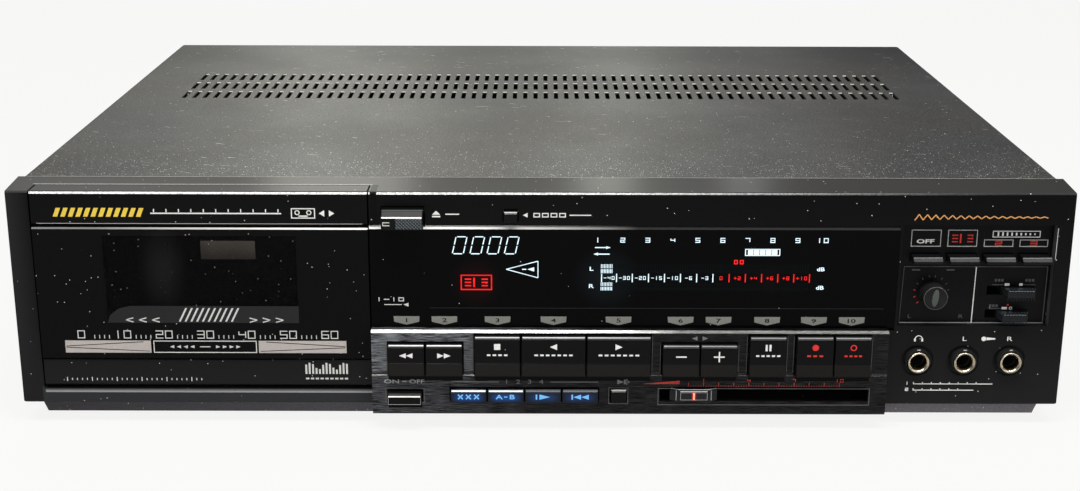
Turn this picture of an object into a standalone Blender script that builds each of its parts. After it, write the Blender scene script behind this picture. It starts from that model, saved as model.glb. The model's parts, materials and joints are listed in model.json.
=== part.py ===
"""Front-loading cassette deck, modelled as an assembly of separate pieces.

Lengths are in metres, +Z is up, +X is the listener's right and -Y is the front.
The origin lies on the ground under the middle of the whole outline.
"""
import math

import bpy
import bmesh
from mathutils import Matrix, Vector

# Fits that every piece shares
FIT_GAP = 0.0003
KEY_GAP = 0.00045
DOOR_GAP = 0.0006
BORE_GAP = 0.0004
OVERRUN = 0.001
ROOT_SINK = 0.0005

# Sheet metal and mouldings
PAN_SHEET = 0.0012
COVER_SHEET = 0.001
BEZEL_WALL = 0.0025
FACE_PLATE = 0.003

# Depth, from the bezel's face to the rear
BEZEL_DEPTH = 0.021
COVER_LENGTH = 0.2787
REAR_INSET = 0.0008

# Heights in the front: the bezel is as tall as what it frames
LENS_TOP_DROP = 0.0135
LENS_HEIGHT = 0.0425
UPPER_BAND_HEIGHT = 0.0178
LOWER_BAND_HEIGHT = 0.0178
MODULE_OVERHANG = 0.0026

# Widths across the front
DOOR_SIDE_MARGIN = 0.0093
DOOR_WIDTH = 0.1314
NARROW_KEY_WIDTH = 0.0146
STOP_KEY_WIDTH = 0.0182
PLAY_KEY_WIDTH = 0.0254
KEY_GROUP_GAP = 0.0047
PAUSE_GAP = 0.004
MODULE_LEFT_MARGIN = 0.0066
MODULE_RIGHT_MARGIN = 0.0072
RECESS_LEFT_GAP = 0.0038
RECESS_WIDTH = 0.06
RECESS_RIGHT_MARGIN = 0.0065
BEZEL_FLARE = 0.0015
LENS_EXTRA_WIDTH = 0.0025

# How far the controls stand proud of the bezel's face
UPPER_BAND_PROUD = 0.0042
LOWER_BAND_PROUD = 0.005
KEY_PROUD = 0.0073
KEY_FOOT_PROUD = 0.0085
POWER_PROUD = 0.0095
PROGRAM_PROUD = 0.0074
LEVEL_KNOB_PROUD = 0.0067
EJECT_PROUD = 0.006

# Feet and base
FOOT_HEIGHT = 0.0072
FOOT_RADIUS = 0.02
APRON_HANG = 0.0043

# Rear fittings
SOCKET_PLATE = 0.002
SOCKET_LENGTH = 0.0085
BUSH_LENGTH = 0.0075

# The cassette that the holder takes
CASSETTE_WIDTH = 0.1004
CASSETTE_THICKNESS = 0.012
CASSETTE_LIFT = 0.0193
HUB_HEIGHT = 0.034
HUB_SPACING = 0.0425
CAPSTAN_HEIGHT = 0.005
CAPSTAN_SPACING = 0.0588

# Facets of round pieces
FINE_STEPS = 24
ROUND_STEPS = 20
SMALL_STEPS = 16
TINY_STEPS = 12
SMOOTH_ANGLE = math.radians(40)

# Places worked out from the sizes above
BODY_HEIGHT = LENS_TOP_DROP + LENS_HEIGHT + UPPER_BAND_HEIGHT + LOWER_BAND_HEIGHT - MODULE_OVERHANG
FLOOR_LOW = FOOT_HEIGHT + FIT_GAP
FLOOR_TOP = FLOOR_LOW + PAN_SHEET
BEZEL_LOW = FLOOR_TOP + FIT_GAP
TOP = BEZEL_LOW + BODY_HEIGHT
KEY_PAIR = 2 * NARROW_KEY_WIDTH + KEY_GAP
PLAY_GROUP = STOP_KEY_WIDTH + 2 * (KEY_GAP + PLAY_KEY_WIDTH)
MODULE_WIDTH = (MODULE_LEFT_MARGIN + 3 * KEY_PAIR + 3 * KEY_GROUP_GAP + PLAY_GROUP
                + NARROW_KEY_WIDTH + PAUSE_GAP + MODULE_RIGHT_MARGIN)
FACE_WIDTH = (DOOR_SIDE_MARGIN + DOOR_WIDTH + DOOR_GAP + MODULE_WIDTH
              + RECESS_LEFT_GAP + RECESS_WIDTH + RECESS_RIGHT_MARGIN)
HALF_FACE = FACE_WIDTH / 2
FRONT_REACH = max(KEY_FOOT_PROUD, POWER_PROUD, PROGRAM_PROUD, LEVEL_KNOB_PROUD, EJECT_PROUD)
REAR_REACH = max(SOCKET_PLATE + FIT_GAP + SOCKET_LENGTH, BUSH_LENGTH) - REAR_INSET
BODY_DEPTH = BEZEL_DEPTH + FIT_GAP + COVER_LENGTH
FACE = FRONT_REACH - (FRONT_REACH + BODY_DEPTH + REAR_REACH) / 2

DOOR_LEFT = DOOR_SIDE_MARGIN - HALF_FACE
DOOR_RIGHT = DOOR_LEFT + DOOR_WIDTH
DOOR_MIDDLE = (DOOR_LEFT + DOOR_RIGHT) / 2
MODULE_LEFT = DOOR_RIGHT + DOOR_GAP
MODULE_RIGHT = MODULE_LEFT + MODULE_WIDTH
LENS_RIGHT = MODULE_RIGHT + LENS_EXTRA_WIDTH
RECESS_LEFT = MODULE_RIGHT + RECESS_LEFT_GAP
RECESS_RIGHT = RECESS_LEFT + RECESS_WIDTH
MODULE_TOP = TOP - LENS_TOP_DROP - LENS_HEIGHT
BAND_STEP = MODULE_TOP - UPPER_BAND_HEIGHT
MODULE_LOW = BAND_STEP - LOWER_BAND_HEIGHT


def back(distance):
    """Y of a plane that lies this far behind the bezel's face."""
    return FACE + distance


def down(drop):
    """Z of a level that lies this far below the top of the deck."""
    return TOP - drop


# Scene and materials
def clear_scene():
    for item in list(bpy.data.objects):
        bpy.data.objects.remove(item)


def linear(channel):
    """One sRGB channel of 0 to 255 as a linear value."""
    value = channel / 255
    if value <= 0.04045:
        return value / 12.92
    return ((value + 0.055) / 1.055) ** 2.4


def finish(name, colour, roughness, metallic=0.0):
    """A Principled material from an sRGB hex colour."""
    material = bpy.data.materials.new(name)
    material.use_nodes = True
    shader = material.node_tree.nodes["Principled BSDF"]
    channels = [int(colour[i:i + 2], 16) for i in (1, 3, 5)]
    shader.inputs["Base Color"].default_value = (*[linear(c) for c in channels], 1)
    shader.inputs["Roughness"].default_value = roughness
    shader.inputs["Metallic"].default_value = metallic
    return material


# Small modelling helpers
def box(bm, low, high):
    """Add a closed box between two corners."""
    size = [high[i] - low[i] for i in range(3)]
    middle = [(high[i] + low[i]) / 2 for i in range(3)]
    place = Matrix.Translation(middle) @ Matrix.Diagonal((*size, 1))
    bmesh.ops.create_cube(bm, size=1, matrix=place)


def prism(bm, outline, axis, start, end):
    """Extrude a closed outline along an axis; its points give the other two coordinates."""
    corners = []
    for first, second in outline:
        point = [first, second]
        point.insert("xyz".index(axis), start)
        corners.append(bm.verts.new(point))
    face = bm.faces.new(corners)
    grown = bmesh.ops.extrude_face_region(bm, geom=[face])
    moved = [item for item in grown["geom"] if isinstance(item, bmesh.types.BMVert)]
    shift = Vector((0, 0, 0))
    shift["xyz".index(axis)] = end - start
    bmesh.ops.translate(bm, verts=moved, vec=shift)


def turned(bm, profile, axis, centre, steps):
    """Spin a profile of (radius, place along the axis) points round an axis through centre.

    A profile that starts and ends on the axis makes a solid; one that doesn't is closed
    into a ring round its bore.
    """
    along = Vector((axis == "x", axis == "y", axis == "z"))
    across = Vector((axis != "x", axis == "x", 0))
    middle = Vector(centre)
    points = [middle + across * radius + along * place for radius, place in profile]
    verts = [bm.verts.new(point) for point in points]
    edges = [bm.edges.new(pair) for pair in zip(verts, verts[1:])]
    if profile[0][0] > 0:
        edges.append(bm.edges.new((verts[-1], verts[0])))
    bmesh.ops.spin(bm, geom=verts + edges, cent=middle, axis=along, angle=2 * math.pi,
                   steps=steps, use_merge=True, use_duplicate=False)
    bmesh.ops.remove_doubles(bm, verts=bm.verts[:], dist=FIT_GAP / 100)
    bmesh.ops.recalc_face_normals(bm, faces=bm.faces[:])


def rod(bm, axis, centre, radius, start, end, steps):
    """A plain round bar between two places along an axis."""
    turned(bm, [(0, start), (radius, start), (radius, end), (0, end)], axis, centre, steps)


def to_object(name, bm, origin=(0, 0, 0)):
    bmesh.ops.recalc_face_normals(bm, faces=bm.faces[:])
    bmesh.ops.translate(bm, verts=bm.verts[:], vec=-Vector(origin))
    mesh = bpy.data.meshes.new(name)
    bm.to_mesh(mesh)
    bm.free()
    item = bpy.data.objects.new(name, mesh)
    item.location = origin
    bpy.context.scene.collection.objects.link(item)
    return item


def part(name, bm, material, origin=(0, 0, 0), smooth=False):
    """One finished piece, with its origin where it is carried or turned."""
    item = to_object(name, bm, origin)
    item.data.materials.append(material)
    if smooth:
        item.data.shade_smooth()
        item.data.set_sharp_from_angle(angle=SMOOTH_ANGLE)
    return item


def combine(piece, operation, name, bm):
    """Cut a hidden shape out of a piece, or join it on."""
    guide = to_object(f"{piece.name}_{name}", bm)
    guide.hide_render = True
    guide.display_type = 'WIRE'
    step = piece.modifiers.new(name, 'BOOLEAN')
    step.operation = operation
    step.solver = 'EXACT'
    step.object = guide


def cut(piece, name, bm):
    combine(piece, 'DIFFERENCE', name, bm)


def join(piece, name, bm):
    combine(piece, 'UNION', name, bm)


def boxes(*corner_pairs):
    """One mesh of separate boxes."""
    bm = bmesh.new()
    for low, high in corner_pairs:
        box(bm, low, high)
    return bm


def hang_on(parent, *pieces):
    """Parent pieces to an empty and keep them where they are."""
    for piece in pieces:
        piece.parent = parent
        piece.location = piece.location - parent.location


# Base pan with its front apron and board pillars
PAN_FRONT = 0.005
PAN_WALL_HEIGHT = 0.022
APRON_END_SLANT = 0.002
APRON_SIDE_INSET = 0.0058
PILLAR_RADIUS = 0.003
PILLAR_HEIGHT = 0.006
BOARD_SHEET = 0.0016
MAIN_BOARD_WIDTH = 0.2
MAIN_BOARD_LENGTH = 0.17
MAIN_BOARD_LEFT_GAP = 0.17
MAIN_BOARD_REAR_GAP = 0.03
PILLAR_INSET = 0.008

COVER_HALF = HALF_FACE
PAN_HALF = COVER_HALF - COVER_SHEET - FIT_GAP
REAR_FACE = back(BODY_DEPTH - REAR_INSET)
REAR_SHEET = 0.0012
REAR_FRONT = REAR_FACE - REAR_SHEET
MAIN_BOARD_LEFT = MAIN_BOARD_LEFT_GAP - PAN_HALF
MAIN_BOARD_REAR = REAR_FRONT - MAIN_BOARD_REAR_GAP
MAIN_BOARD_LOW = FLOOR_TOP + PILLAR_HEIGHT + FIT_GAP


def pillar_places():
    right = MAIN_BOARD_LEFT + MAIN_BOARD_WIDTH
    front = MAIN_BOARD_REAR - MAIN_BOARD_LENGTH
    for x in (MAIN_BOARD_LEFT + PILLAR_INSET, right - PILLAR_INSET):
        for y in (front + PILLAR_INSET, MAIN_BOARD_REAR - PILLAR_INSET):
            yield x, y


def base_pan():
    wall_front = back(BEZEL_DEPTH + FIT_GAP)
    bm = bmesh.new()
    box(bm, (-PAN_HALF, back(PAN_FRONT), FLOOR_LOW), (PAN_HALF, REAR_FACE, FLOOR_TOP))
    piece = part("base_pan", bm, finish("grey_painted_steel", "#57534f", 0.5, 0.3))
    top = FLOOR_TOP + PAN_WALL_HEIGHT
    low = FLOOR_TOP - PAN_SHEET / 2
    inner = PAN_HALF - PAN_SHEET
    join(piece, "side_walls", boxes(
        ((-PAN_HALF, wall_front, low), (-inner, REAR_FACE, top)),
        ((inner, wall_front, low), (PAN_HALF, REAR_FACE, top))))
    apron_half = HALF_FACE - APRON_SIDE_INSET
    apron_low = FLOOR_LOW - APRON_HANG
    middle = (FLOOR_LOW + FLOOR_TOP) / 2
    bm = bmesh.new()
    prism(bm, [(-apron_half, middle), (apron_half, middle),
               (apron_half - APRON_END_SLANT, apron_low),
               (APRON_END_SLANT - apron_half, apron_low)],
          "y", back(PAN_FRONT), back(PAN_FRONT) + PAN_SHEET)
    join(piece, "apron", bm)
    bm = bmesh.new()
    for x, y in pillar_places():
        rod(bm, "z", (x, y, 0), PILLAR_RADIUS, low, FLOOR_TOP + PILLAR_HEIGHT, TINY_STEPS)
    join(piece, "pillars", bm)
    return piece


# Top cover, one folded sheet with three rows of vents
BEND_RADIUS = 0.002
BEND_STEPS = 3
VENT_ROWS = 3
VENTS_PER_ROW = 70
VENT_WIDTH = 0.0021
VENT_LENGTH = 0.015
VENT_PITCH = 0.0051
VENT_ROW_PITCH = 0.0207
VENT_FIRST_ROW = 0.163


def bend(x, z, start_angle, end_angle, radius):
    """Points of a folded corner, from one angle to the other."""
    for i in range(BEND_STEPS + 1):
        angle = start_angle + (end_angle - start_angle) * i / BEND_STEPS
        yield x + radius * math.cos(angle), z + radius * math.sin(angle)


def cover_outline(half, top, radius):
    quarter = math.pi / 2
    left = bend(radius - half, top - radius, 2 * quarter, quarter, radius)
    right = bend(half - radius, top - radius, quarter, 0, radius)
    return [(-half, FLOOR_LOW), *left, *right, (half, FLOOR_LOW)]


def top_cover():
    outer = cover_outline(COVER_HALF, TOP, BEND_RADIUS)
    inner = cover_outline(COVER_HALF - COVER_SHEET, TOP - COVER_SHEET, BEND_RADIUS - COVER_SHEET)
    bm = bmesh.new()
    prism(bm, outer + inner[::-1], "y", back(BEZEL_DEPTH + FIT_GAP), back(BODY_DEPTH))
    piece = part("top_cover", bm, finish("black_painted_steel", "#2e2e2e", 0.45, 0.2))
    bm = bmesh.new()
    for row in range(VENT_ROWS):
        front = back(VENT_FIRST_ROW + row * VENT_ROW_PITCH)
        for i in range(VENTS_PER_ROW):
            x = (i - (VENTS_PER_ROW - 1) / 2) * VENT_PITCH
            box(bm, (x - VENT_WIDTH / 2, front, TOP - COVER_SHEET - OVERRUN),
                (x + VENT_WIDTH / 2, front + VENT_LENGTH, TOP + OVERRUN))
    cut(piece, "vents", bm)
    return piece


# Rear panel and what it carries
REAR_FLANGE = 0.008
SOCKET_PITCH = 0.014
SOCKET_COUNT = 4
SOCKET_RADIUS = 0.0041
SOCKET_BORE = 0.0016
SOCKET_BORE_DEPTH = 0.007
SOCKET_ROW_INSET = 0.045
SOCKET_RISE = 0.045
SOCKET_PLATE_MARGIN = 0.01
SOCKET_PLATE_HEIGHT = 0.018
SOCKET_TAIL_RADIUS = 0.0035
SOCKET_TAIL = 0.004
BUSH_RADIUS = 0.0055
BUSH_FLANGE_RADIUS = 0.0085
BUSH_FLANGE = 0.002
BUSH_BORE = 0.0026
BUSH_TAIL = 0.004
BUSH_INSET = 0.04
BUSH_RISE = 0.03
REAR_HALF = PAN_HALF - PAN_SHEET - FIT_GAP
REAR_LOW = FLOOR_TOP + FIT_GAP
REAR_TOP = TOP - COVER_SHEET - FIT_GAP
SOCKET_Z = FLOOR_TOP + SOCKET_RISE
BUSH_X = BUSH_INSET - REAR_HALF
BUSH_Z = FLOOR_TOP + BUSH_RISE


def socket_places():
    right = REAR_HALF - SOCKET_ROW_INSET
    return [right - i * SOCKET_PITCH for i in range(SOCKET_COUNT)]


def rear_panel():
    bm = bmesh.new()
    prism(bm, [(REAR_FACE, REAR_LOW), (REAR_FACE, REAR_TOP), (REAR_FACE - REAR_FLANGE, REAR_TOP),
               (REAR_FACE - REAR_FLANGE, REAR_TOP - REAR_SHEET), (REAR_FRONT, REAR_TOP - REAR_SHEET),
               (REAR_FRONT, REAR_LOW)], "x", -REAR_HALF, REAR_HALF)
    piece = part("rear_panel", bm, finish("black_rear_steel", "#262626", 0.5, 0.3))
    bm = bmesh.new()
    for x in socket_places():
        rod(bm, "y", (x, 0, SOCKET_Z), SOCKET_TAIL_RADIUS + BORE_GAP,
            REAR_FRONT - OVERRUN, REAR_FACE + OVERRUN, TINY_STEPS)
    rod(bm, "y", (BUSH_X, 0, BUSH_Z), BUSH_RADIUS + BORE_GAP,
        REAR_FRONT - OVERRUN, REAR_FACE + OVERRUN, SMALL_STEPS)
    cut(piece, "holes", bm)
    return piece


def phono_sockets():
    places = socket_places()
    front = REAR_FACE + FIT_GAP
    rear = front + SOCKET_PLATE
    half_height = SOCKET_PLATE_HEIGHT / 2
    bm = boxes(((places[-1] - SOCKET_PLATE_MARGIN, front, SOCKET_Z - half_height),
                (places[0] + SOCKET_PLATE_MARGIN, rear, SOCKET_Z + half_height)))
    piece = part("phono_sockets", bm, finish("nickel_and_black_sockets", "#1c1c1c", 0.4))
    bm = bmesh.new()
    tip = rear + SOCKET_LENGTH
    tail = REAR_FRONT - SOCKET_TAIL
    for x in places:
        turned(bm, [(0, tail), (SOCKET_TAIL_RADIUS, tail), (SOCKET_TAIL_RADIUS, rear - ROOT_SINK),
                    (SOCKET_RADIUS, rear - ROOT_SINK), (SOCKET_RADIUS, tip), (SOCKET_BORE, tip),
                    (SOCKET_BORE, tip - SOCKET_BORE_DEPTH), (0, tip - SOCKET_BORE_DEPTH)],
               "y", (x, 0, SOCKET_Z), TINY_STEPS)
    join(piece, "barrels", bm)
    return piece


def cord_bush():
    seat = REAR_FACE + FIT_GAP
    tip = REAR_FACE + BUSH_LENGTH
    tail = REAR_FRONT - BUSH_TAIL
    bm = bmesh.new()
    turned(bm, [(BUSH_BORE, tail), (BUSH_RADIUS, tail), (BUSH_RADIUS, seat),
                (BUSH_FLANGE_RADIUS, seat), (BUSH_FLANGE_RADIUS, seat + BUSH_FLANGE),
                (BUSH_RADIUS, tip), (BUSH_BORE, tip)], "y", (BUSH_X, 0, BUSH_Z), SMALL_STEPS)
    return part("cord_bush", bm, finish("black_bush_rubber", "#151515", 0.7), smooth=True)


# Four feet, each with a hollow underside and a seating collar
FOOT_SIDE_INSET = 0.045
FOOT_FRONT_INSET = 0.045
FOOT_REAR_INSET = 0.04
FOOT_TAPER = 0.0012
FOOT_HOLLOW_RADIUS = 0.008
FOOT_HOLLOW_DEPTH = 0.003
FOOT_EDGE = 0.001


def feet():
    material = finish("black_foot_moulding", "#161616", 0.6)
    x = PAN_HALF - FOOT_SIDE_INSET
    front = back(PAN_FRONT + FOOT_FRONT_INSET)
    rear = REAR_FACE - FOOT_REAR_INSET
    places = {"foot_front_left": (-x, front), "foot_front_right": (x, front),
              "foot_rear_left": (-x, rear), "foot_rear_right": (x, rear)}
    profile = [(0, FOOT_HOLLOW_DEPTH), (FOOT_HOLLOW_RADIUS, FOOT_HOLLOW_DEPTH),
               (FOOT_HOLLOW_RADIUS, 0), (FOOT_RADIUS - FOOT_TAPER - FOOT_EDGE, 0),
               (FOOT_RADIUS - FOOT_TAPER, FOOT_EDGE), (FOOT_RADIUS, FOOT_HEIGHT), (0, FOOT_HEIGHT)]
    for name, (foot_x, foot_y) in places.items():
        bm = bmesh.new()
        turned(bm, profile, "z", (foot_x, foot_y, 0), ROUND_STEPS)
        part(name, bm, material, origin=(foot_x, foot_y, 0), smooth=True)


# Cassette door opening and the hinge at its foot
DOOR_WRAP = 0.009
RAIL_HEIGHT = 0.006
DOOR_SWING_GAP = 0.0015
HINGE_BACK = 0.0035
HINGE_RISE = 0.0035
HINGE_RADIUS = 0.0014
HINGE_REACH = 0.0022
EAR_WIDTH = 0.004
EAR_HALF_HEIGHT = 0.004
EAR_DEPTH = 0.008
DOOR_LOW = BEZEL_LOW + RAIL_HEIGHT + DOOR_SWING_GAP
HINGE_Y = back(HINGE_BACK)
HINGE_Z = DOOR_LOW + HINGE_RISE

# Bezel
TOP_CHAMFER = 0.0006
EDGE_CHAMFER = 0.0008
WEB = 0.002
LENS_THICKNESS = 0.0024
LENS_PROUD = 0.0004
LENS_LEDGE = 0.004
MODULE_FLANGE = 0.0028
EJECT_X = 0.0047
EJECT_TOP_DROP = 0.0058
EJECT_OPENING_WIDTH = 0.0172
EJECT_OPENING_HEIGHT = 0.0085
RESET_X = 0.0522
RESET_TOP_DROP = 0.007
RESET_OPENING_WIDTH = 0.0063
RESET_OPENING_HEIGHT = 0.005
RECESS_TOP_DROP = 0.013
RECESS_HEIGHT = 0.042
JACK_X_FIRST = 0.009
JACK_PITCH = 0.0184
JACK_RISE = 0.0192
JACK_RADIUS = 0.0041
JACK_SINK_RADIUS = 0.0066
JACK_SINK = 0.0008

RIB_LEFT = RECESS_LEFT - RECESS_LEFT_GAP + OVERRUN
RIB_RIGHT = RIB_LEFT + WEB
EJECT_LEFT = MODULE_LEFT + EJECT_X
EJECT_OPENING = ((EJECT_LEFT, down(EJECT_TOP_DROP + EJECT_OPENING_HEIGHT)),
                 (EJECT_LEFT + EJECT_OPENING_WIDTH, down(EJECT_TOP_DROP)))
RESET_LEFT = MODULE_LEFT + RESET_X
RESET_OPENING = ((RESET_LEFT, down(RESET_TOP_DROP + RESET_OPENING_HEIGHT)),
                 (RESET_LEFT + RESET_OPENING_WIDTH, down(RESET_TOP_DROP)))
RECESS_LOW = down(RECESS_TOP_DROP + RECESS_HEIGHT)
JACK_Z = BEZEL_LOW + JACK_RISE
LENS_BACK = back(LENS_THICKNESS - LENS_PROUD)


def jack_places():
    names = ("phones_jack", "microphone_jack_left", "microphone_jack_right")
    first = RECESS_LEFT + JACK_X_FIRST
    return {name: first + i * JACK_PITCH for i, name in enumerate(names)}


def through(opening, front, rear):
    """A box that runs through the front plate behind an (x, z) opening."""
    (x0, z0), (x1, z1) = opening
    return (x0, front, z0), (x1, rear, z1)


def bevel_edges(bm, chosen, width):
    edges = [edge for edge in bm.edges if chosen(edge)]
    bmesh.ops.bevel(bm, geom=edges, offset=width, offset_type='OFFSET', segments=1,
                    profile=0.5, affect='EDGES', material=-1)


def on_front(edge):
    return all(abs(vert.co.y - FACE) < FIT_GAP for vert in edge.verts)


def at_level(edge, level):
    return all(abs(vert.co.z - level) < FIT_GAP for vert in edge.verts)


def front_bezel():
    rear_half = HALF_FACE + BEZEL_FLARE
    rear = back(BEZEL_DEPTH)
    bm = bmesh.new()
    prism(bm, [(-HALF_FACE, FACE), (HALF_FACE, FACE), (rear_half, rear), (-rear_half, rear)],
          "z", BEZEL_LOW, TOP)
    bevel_edges(bm, lambda edge: on_front(edge) and at_level(edge, TOP), TOP_CHAMFER)
    bevel_edges(bm, lambda edge: on_front(edge) and at_level(edge, BEZEL_LOW), EDGE_CHAMFER)
    piece = part("front_bezel", bm, finish("black_bezel_moulding", "#1d1d1e", 0.35))

    plate = back(FACE_PLATE)
    deep = rear + OVERRUN
    inner = HALF_FACE - BEZEL_WALL
    low = BEZEL_LOW + BEZEL_WALL
    top = TOP - BEZEL_WALL
    cut(piece, "bays", boxes(
        ((-inner, plate, low), (MODULE_LEFT, deep, top)),
        ((MODULE_LEFT + WEB, plate, low), (RIB_LEFT, deep, top)),
        ((RIB_RIGHT, plate, low), (inner, deep, top))))
    front = back(-OVERRUN)
    door_low = DOOR_LOW - DOOR_SWING_GAP
    notch = back(DOOR_WRAP + DOOR_GAP)
    cut(piece, "door_notch", boxes(((DOOR_LEFT - DOOR_GAP, front, door_low),
                                    (MODULE_LEFT, notch, TOP + OVERRUN))))
    lens_back = LENS_BACK + FIT_GAP
    cut(piece, "lens_pocket", boxes(((MODULE_LEFT - OVERRUN, front, MODULE_TOP - OVERRUN),
                                     (LENS_RIGHT + FIT_GAP, lens_back, down(LENS_TOP_DROP)))))
    behind = plate + OVERRUN
    window = ((MODULE_LEFT + LENS_LEDGE, MODULE_TOP + LENS_LEDGE),
              (RIB_LEFT - LENS_LEDGE, down(LENS_TOP_DROP + LENS_LEDGE)))
    module = ((MODULE_LEFT + MODULE_FLANGE, low),
              (MODULE_RIGHT - MODULE_FLANGE, BAND_STEP + TALL_KEY_HEIGHT + 2 * KEY_GAP))
    recess = ((RECESS_LEFT, RECESS_LOW), (RECESS_RIGHT, down(RECESS_TOP_DROP)))
    cut(piece, "front_openings", boxes(*[through(opening, front, behind) for opening in
                                         (window, module, EJECT_OPENING, RESET_OPENING, recess)]))
    bm = bmesh.new()
    for x in jack_places().values():
        turned(bm, [(0, front), (JACK_SINK_RADIUS, front), (JACK_SINK_RADIUS, back(JACK_SINK)),
                    (JACK_RADIUS + BORE_GAP, back(JACK_SINK)), (JACK_RADIUS + BORE_GAP, behind),
                    (0, behind)], "y", (x, 0, JACK_Z), ROUND_STEPS)
    cut(piece, "jack_holes", bm)

    ear_front = back(FACE_PLATE - ROOT_SINK)
    ear = DOOR_LEFT - DOOR_GAP
    join(piece, "hinge_ear", boxes(((ear - EAR_WIDTH, ear_front, HINGE_Z - EAR_HALF_HEIGHT),
                                    (ear, back(EAR_DEPTH), HINGE_Z + EAR_HALF_HEIGHT))))
    bm = bmesh.new()
    rod(bm, "x", (0, HINGE_Y, HINGE_Z), HINGE_RADIUS + BORE_GAP,
        DOOR_LEFT - HINGE_REACH - BORE_GAP, MODULE_LEFT + WEB + OVERRUN, TINY_STEPS)
    cut(piece, "hinge_holes", bm)
    return piece


# Display window and the control fascia below it
LENS_CHAMFER = 0.0012
FASCIA_WALL = 0.002
FASCIA_CHAMFER = 0.001
STEP_SLANT = 0.0008
TALL_KEY_HEIGHT = 0.0163
LOW_KEY_HEIGHT = 0.0128
POWER_X = 0.0064
POWER_WIDTH = 0.0135
POWER_HEIGHT = 0.0046
PROGRAM_X = 0.0313
PROGRAM_WIDTH = 0.0144
PROGRAM_HEIGHT = 0.0055
SKIP_X = 0.0952
SKIP_WIDTH = 0.0063
LOWER_ROW_RISE = 0.006
SLOT_X = 0.1148
SLOT_HEIGHT = 0.0062
SLOT_RIGHT_MARGIN = 0.0072

ROW_LOW = MODULE_LOW + LOWER_ROW_RISE
PROGRAM_NAMES = ("program_clear_button", "program_side_button",
                 "program_start_button", "program_reset_button")
SLOT = ((MODULE_LEFT + SLOT_X, ROW_LOW), (MODULE_RIGHT - SLOT_RIGHT_MARGIN, ROW_LOW + SLOT_HEIGHT))


def key_columns():
    """Each transport key's left and right side and its height, from left to right."""
    groups = [[("rewind_key", NARROW_KEY_WIDTH), ("fast_forward_key", NARROW_KEY_WIDTH)],
              [("stop_key", STOP_KEY_WIDTH), ("reverse_play_key", PLAY_KEY_WIDTH),
               ("forward_play_key", PLAY_KEY_WIDTH)],
              [("search_back_key", NARROW_KEY_WIDTH), ("search_forward_key", NARROW_KEY_WIDTH)],
              [("pause_key", NARROW_KEY_WIDTH)],
              [("record_key", NARROW_KEY_WIDTH), ("record_mute_key", NARROW_KEY_WIDTH)]]
    heights = [LOW_KEY_HEIGHT, TALL_KEY_HEIGHT, LOW_KEY_HEIGHT, TALL_KEY_HEIGHT, TALL_KEY_HEIGHT]
    gaps = [KEY_GROUP_GAP, KEY_GROUP_GAP, KEY_GROUP_GAP, PAUSE_GAP, 0]
    left = MODULE_LEFT + MODULE_LEFT_MARGIN
    rows = []
    for group, height, gap in zip(groups, heights, gaps):
        keys = []
        for name, width in group:
            keys.append((name, left, left + width))
            left += width + KEY_GAP
        rows.append((keys, height))
        left += gap - KEY_GAP
    return rows


def program_columns():
    left = MODULE_LEFT + PROGRAM_X
    for i, name in enumerate(PROGRAM_NAMES):
        start = left + i * (PROGRAM_WIDTH + KEY_GAP)
        yield name, start, start + PROGRAM_WIDTH


def fascia_openings():
    for keys, height in key_columns():
        yield ((keys[0][1] - KEY_GAP, BAND_STEP - KEY_GAP),
               (keys[-1][2] + KEY_GAP, BAND_STEP + height + KEY_GAP))
    power = MODULE_LEFT + POWER_X
    yield ((power - KEY_GAP, ROW_LOW - KEY_GAP),
           (power + POWER_WIDTH + KEY_GAP, ROW_LOW + POWER_HEIGHT + KEY_GAP))
    program = list(program_columns())
    yield ((program[0][1] - KEY_GAP, ROW_LOW - KEY_GAP),
           (program[-1][2] + KEY_GAP, ROW_LOW + PROGRAM_HEIGHT + KEY_GAP))
    skip = MODULE_LEFT + SKIP_X
    yield ((skip - KEY_GAP, ROW_LOW - KEY_GAP),
           (skip + SKIP_WIDTH + KEY_GAP, ROW_LOW + PROGRAM_HEIGHT + KEY_GAP))
    yield SLOT


def display_window():
    front = back(-LENS_PROUD)
    top = down(LENS_TOP_DROP) - FIT_GAP
    low = MODULE_TOP + FIT_GAP
    bm = bmesh.new()
    prism(bm, [(front, low), (front, top - LENS_CHAMFER), (front + LENS_CHAMFER, top),
               (LENS_BACK, top), (LENS_BACK, low)], "x", MODULE_LEFT, LENS_RIGHT)
    piece = part("display_window", bm, finish("black_display_acrylic", "#0b0b0d", 0.08))
    (left, _), (right, _) = EJECT_OPENING
    low = EJECT_OPENING[0][1]
    cut(piece, "eject_notch", boxes(((left, front - OVERRUN, low), (right, LENS_BACK + OVERRUN, TOP))))
    return piece


def control_fascia():
    upper = back(-UPPER_BAND_PROUD)
    lower = back(-LOWER_BAND_PROUD)
    rear = back(-FIT_GAP)
    bm = bmesh.new()
    prism(bm, [(rear, MODULE_TOP), (upper + FASCIA_CHAMFER, MODULE_TOP),
               (upper, MODULE_TOP - FASCIA_CHAMFER), (upper, BAND_STEP),
               (lower, BAND_STEP - STEP_SLANT), (lower, MODULE_LOW + FASCIA_CHAMFER),
               (lower + FASCIA_CHAMFER, MODULE_LOW), (rear, MODULE_LOW)],
          "x", MODULE_LEFT, MODULE_RIGHT)
    piece = part("control_fascia", bm, finish("black_brushed_aluminium", "#29282a", 0.35, 0.9))
    cavity = upper + FASCIA_WALL
    cut(piece, "cavity", boxes(((MODULE_LEFT + FASCIA_WALL, cavity, MODULE_LOW + FASCIA_WALL),
                                (MODULE_RIGHT - FASCIA_WALL, FACE + OVERRUN, MODULE_TOP - FASCIA_WALL))))
    cut(piece, "openings", boxes(*[through(opening, lower - OVERRUN, FACE + OVERRUN)
                                   for opening in fascia_openings()]))
    return piece


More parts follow.
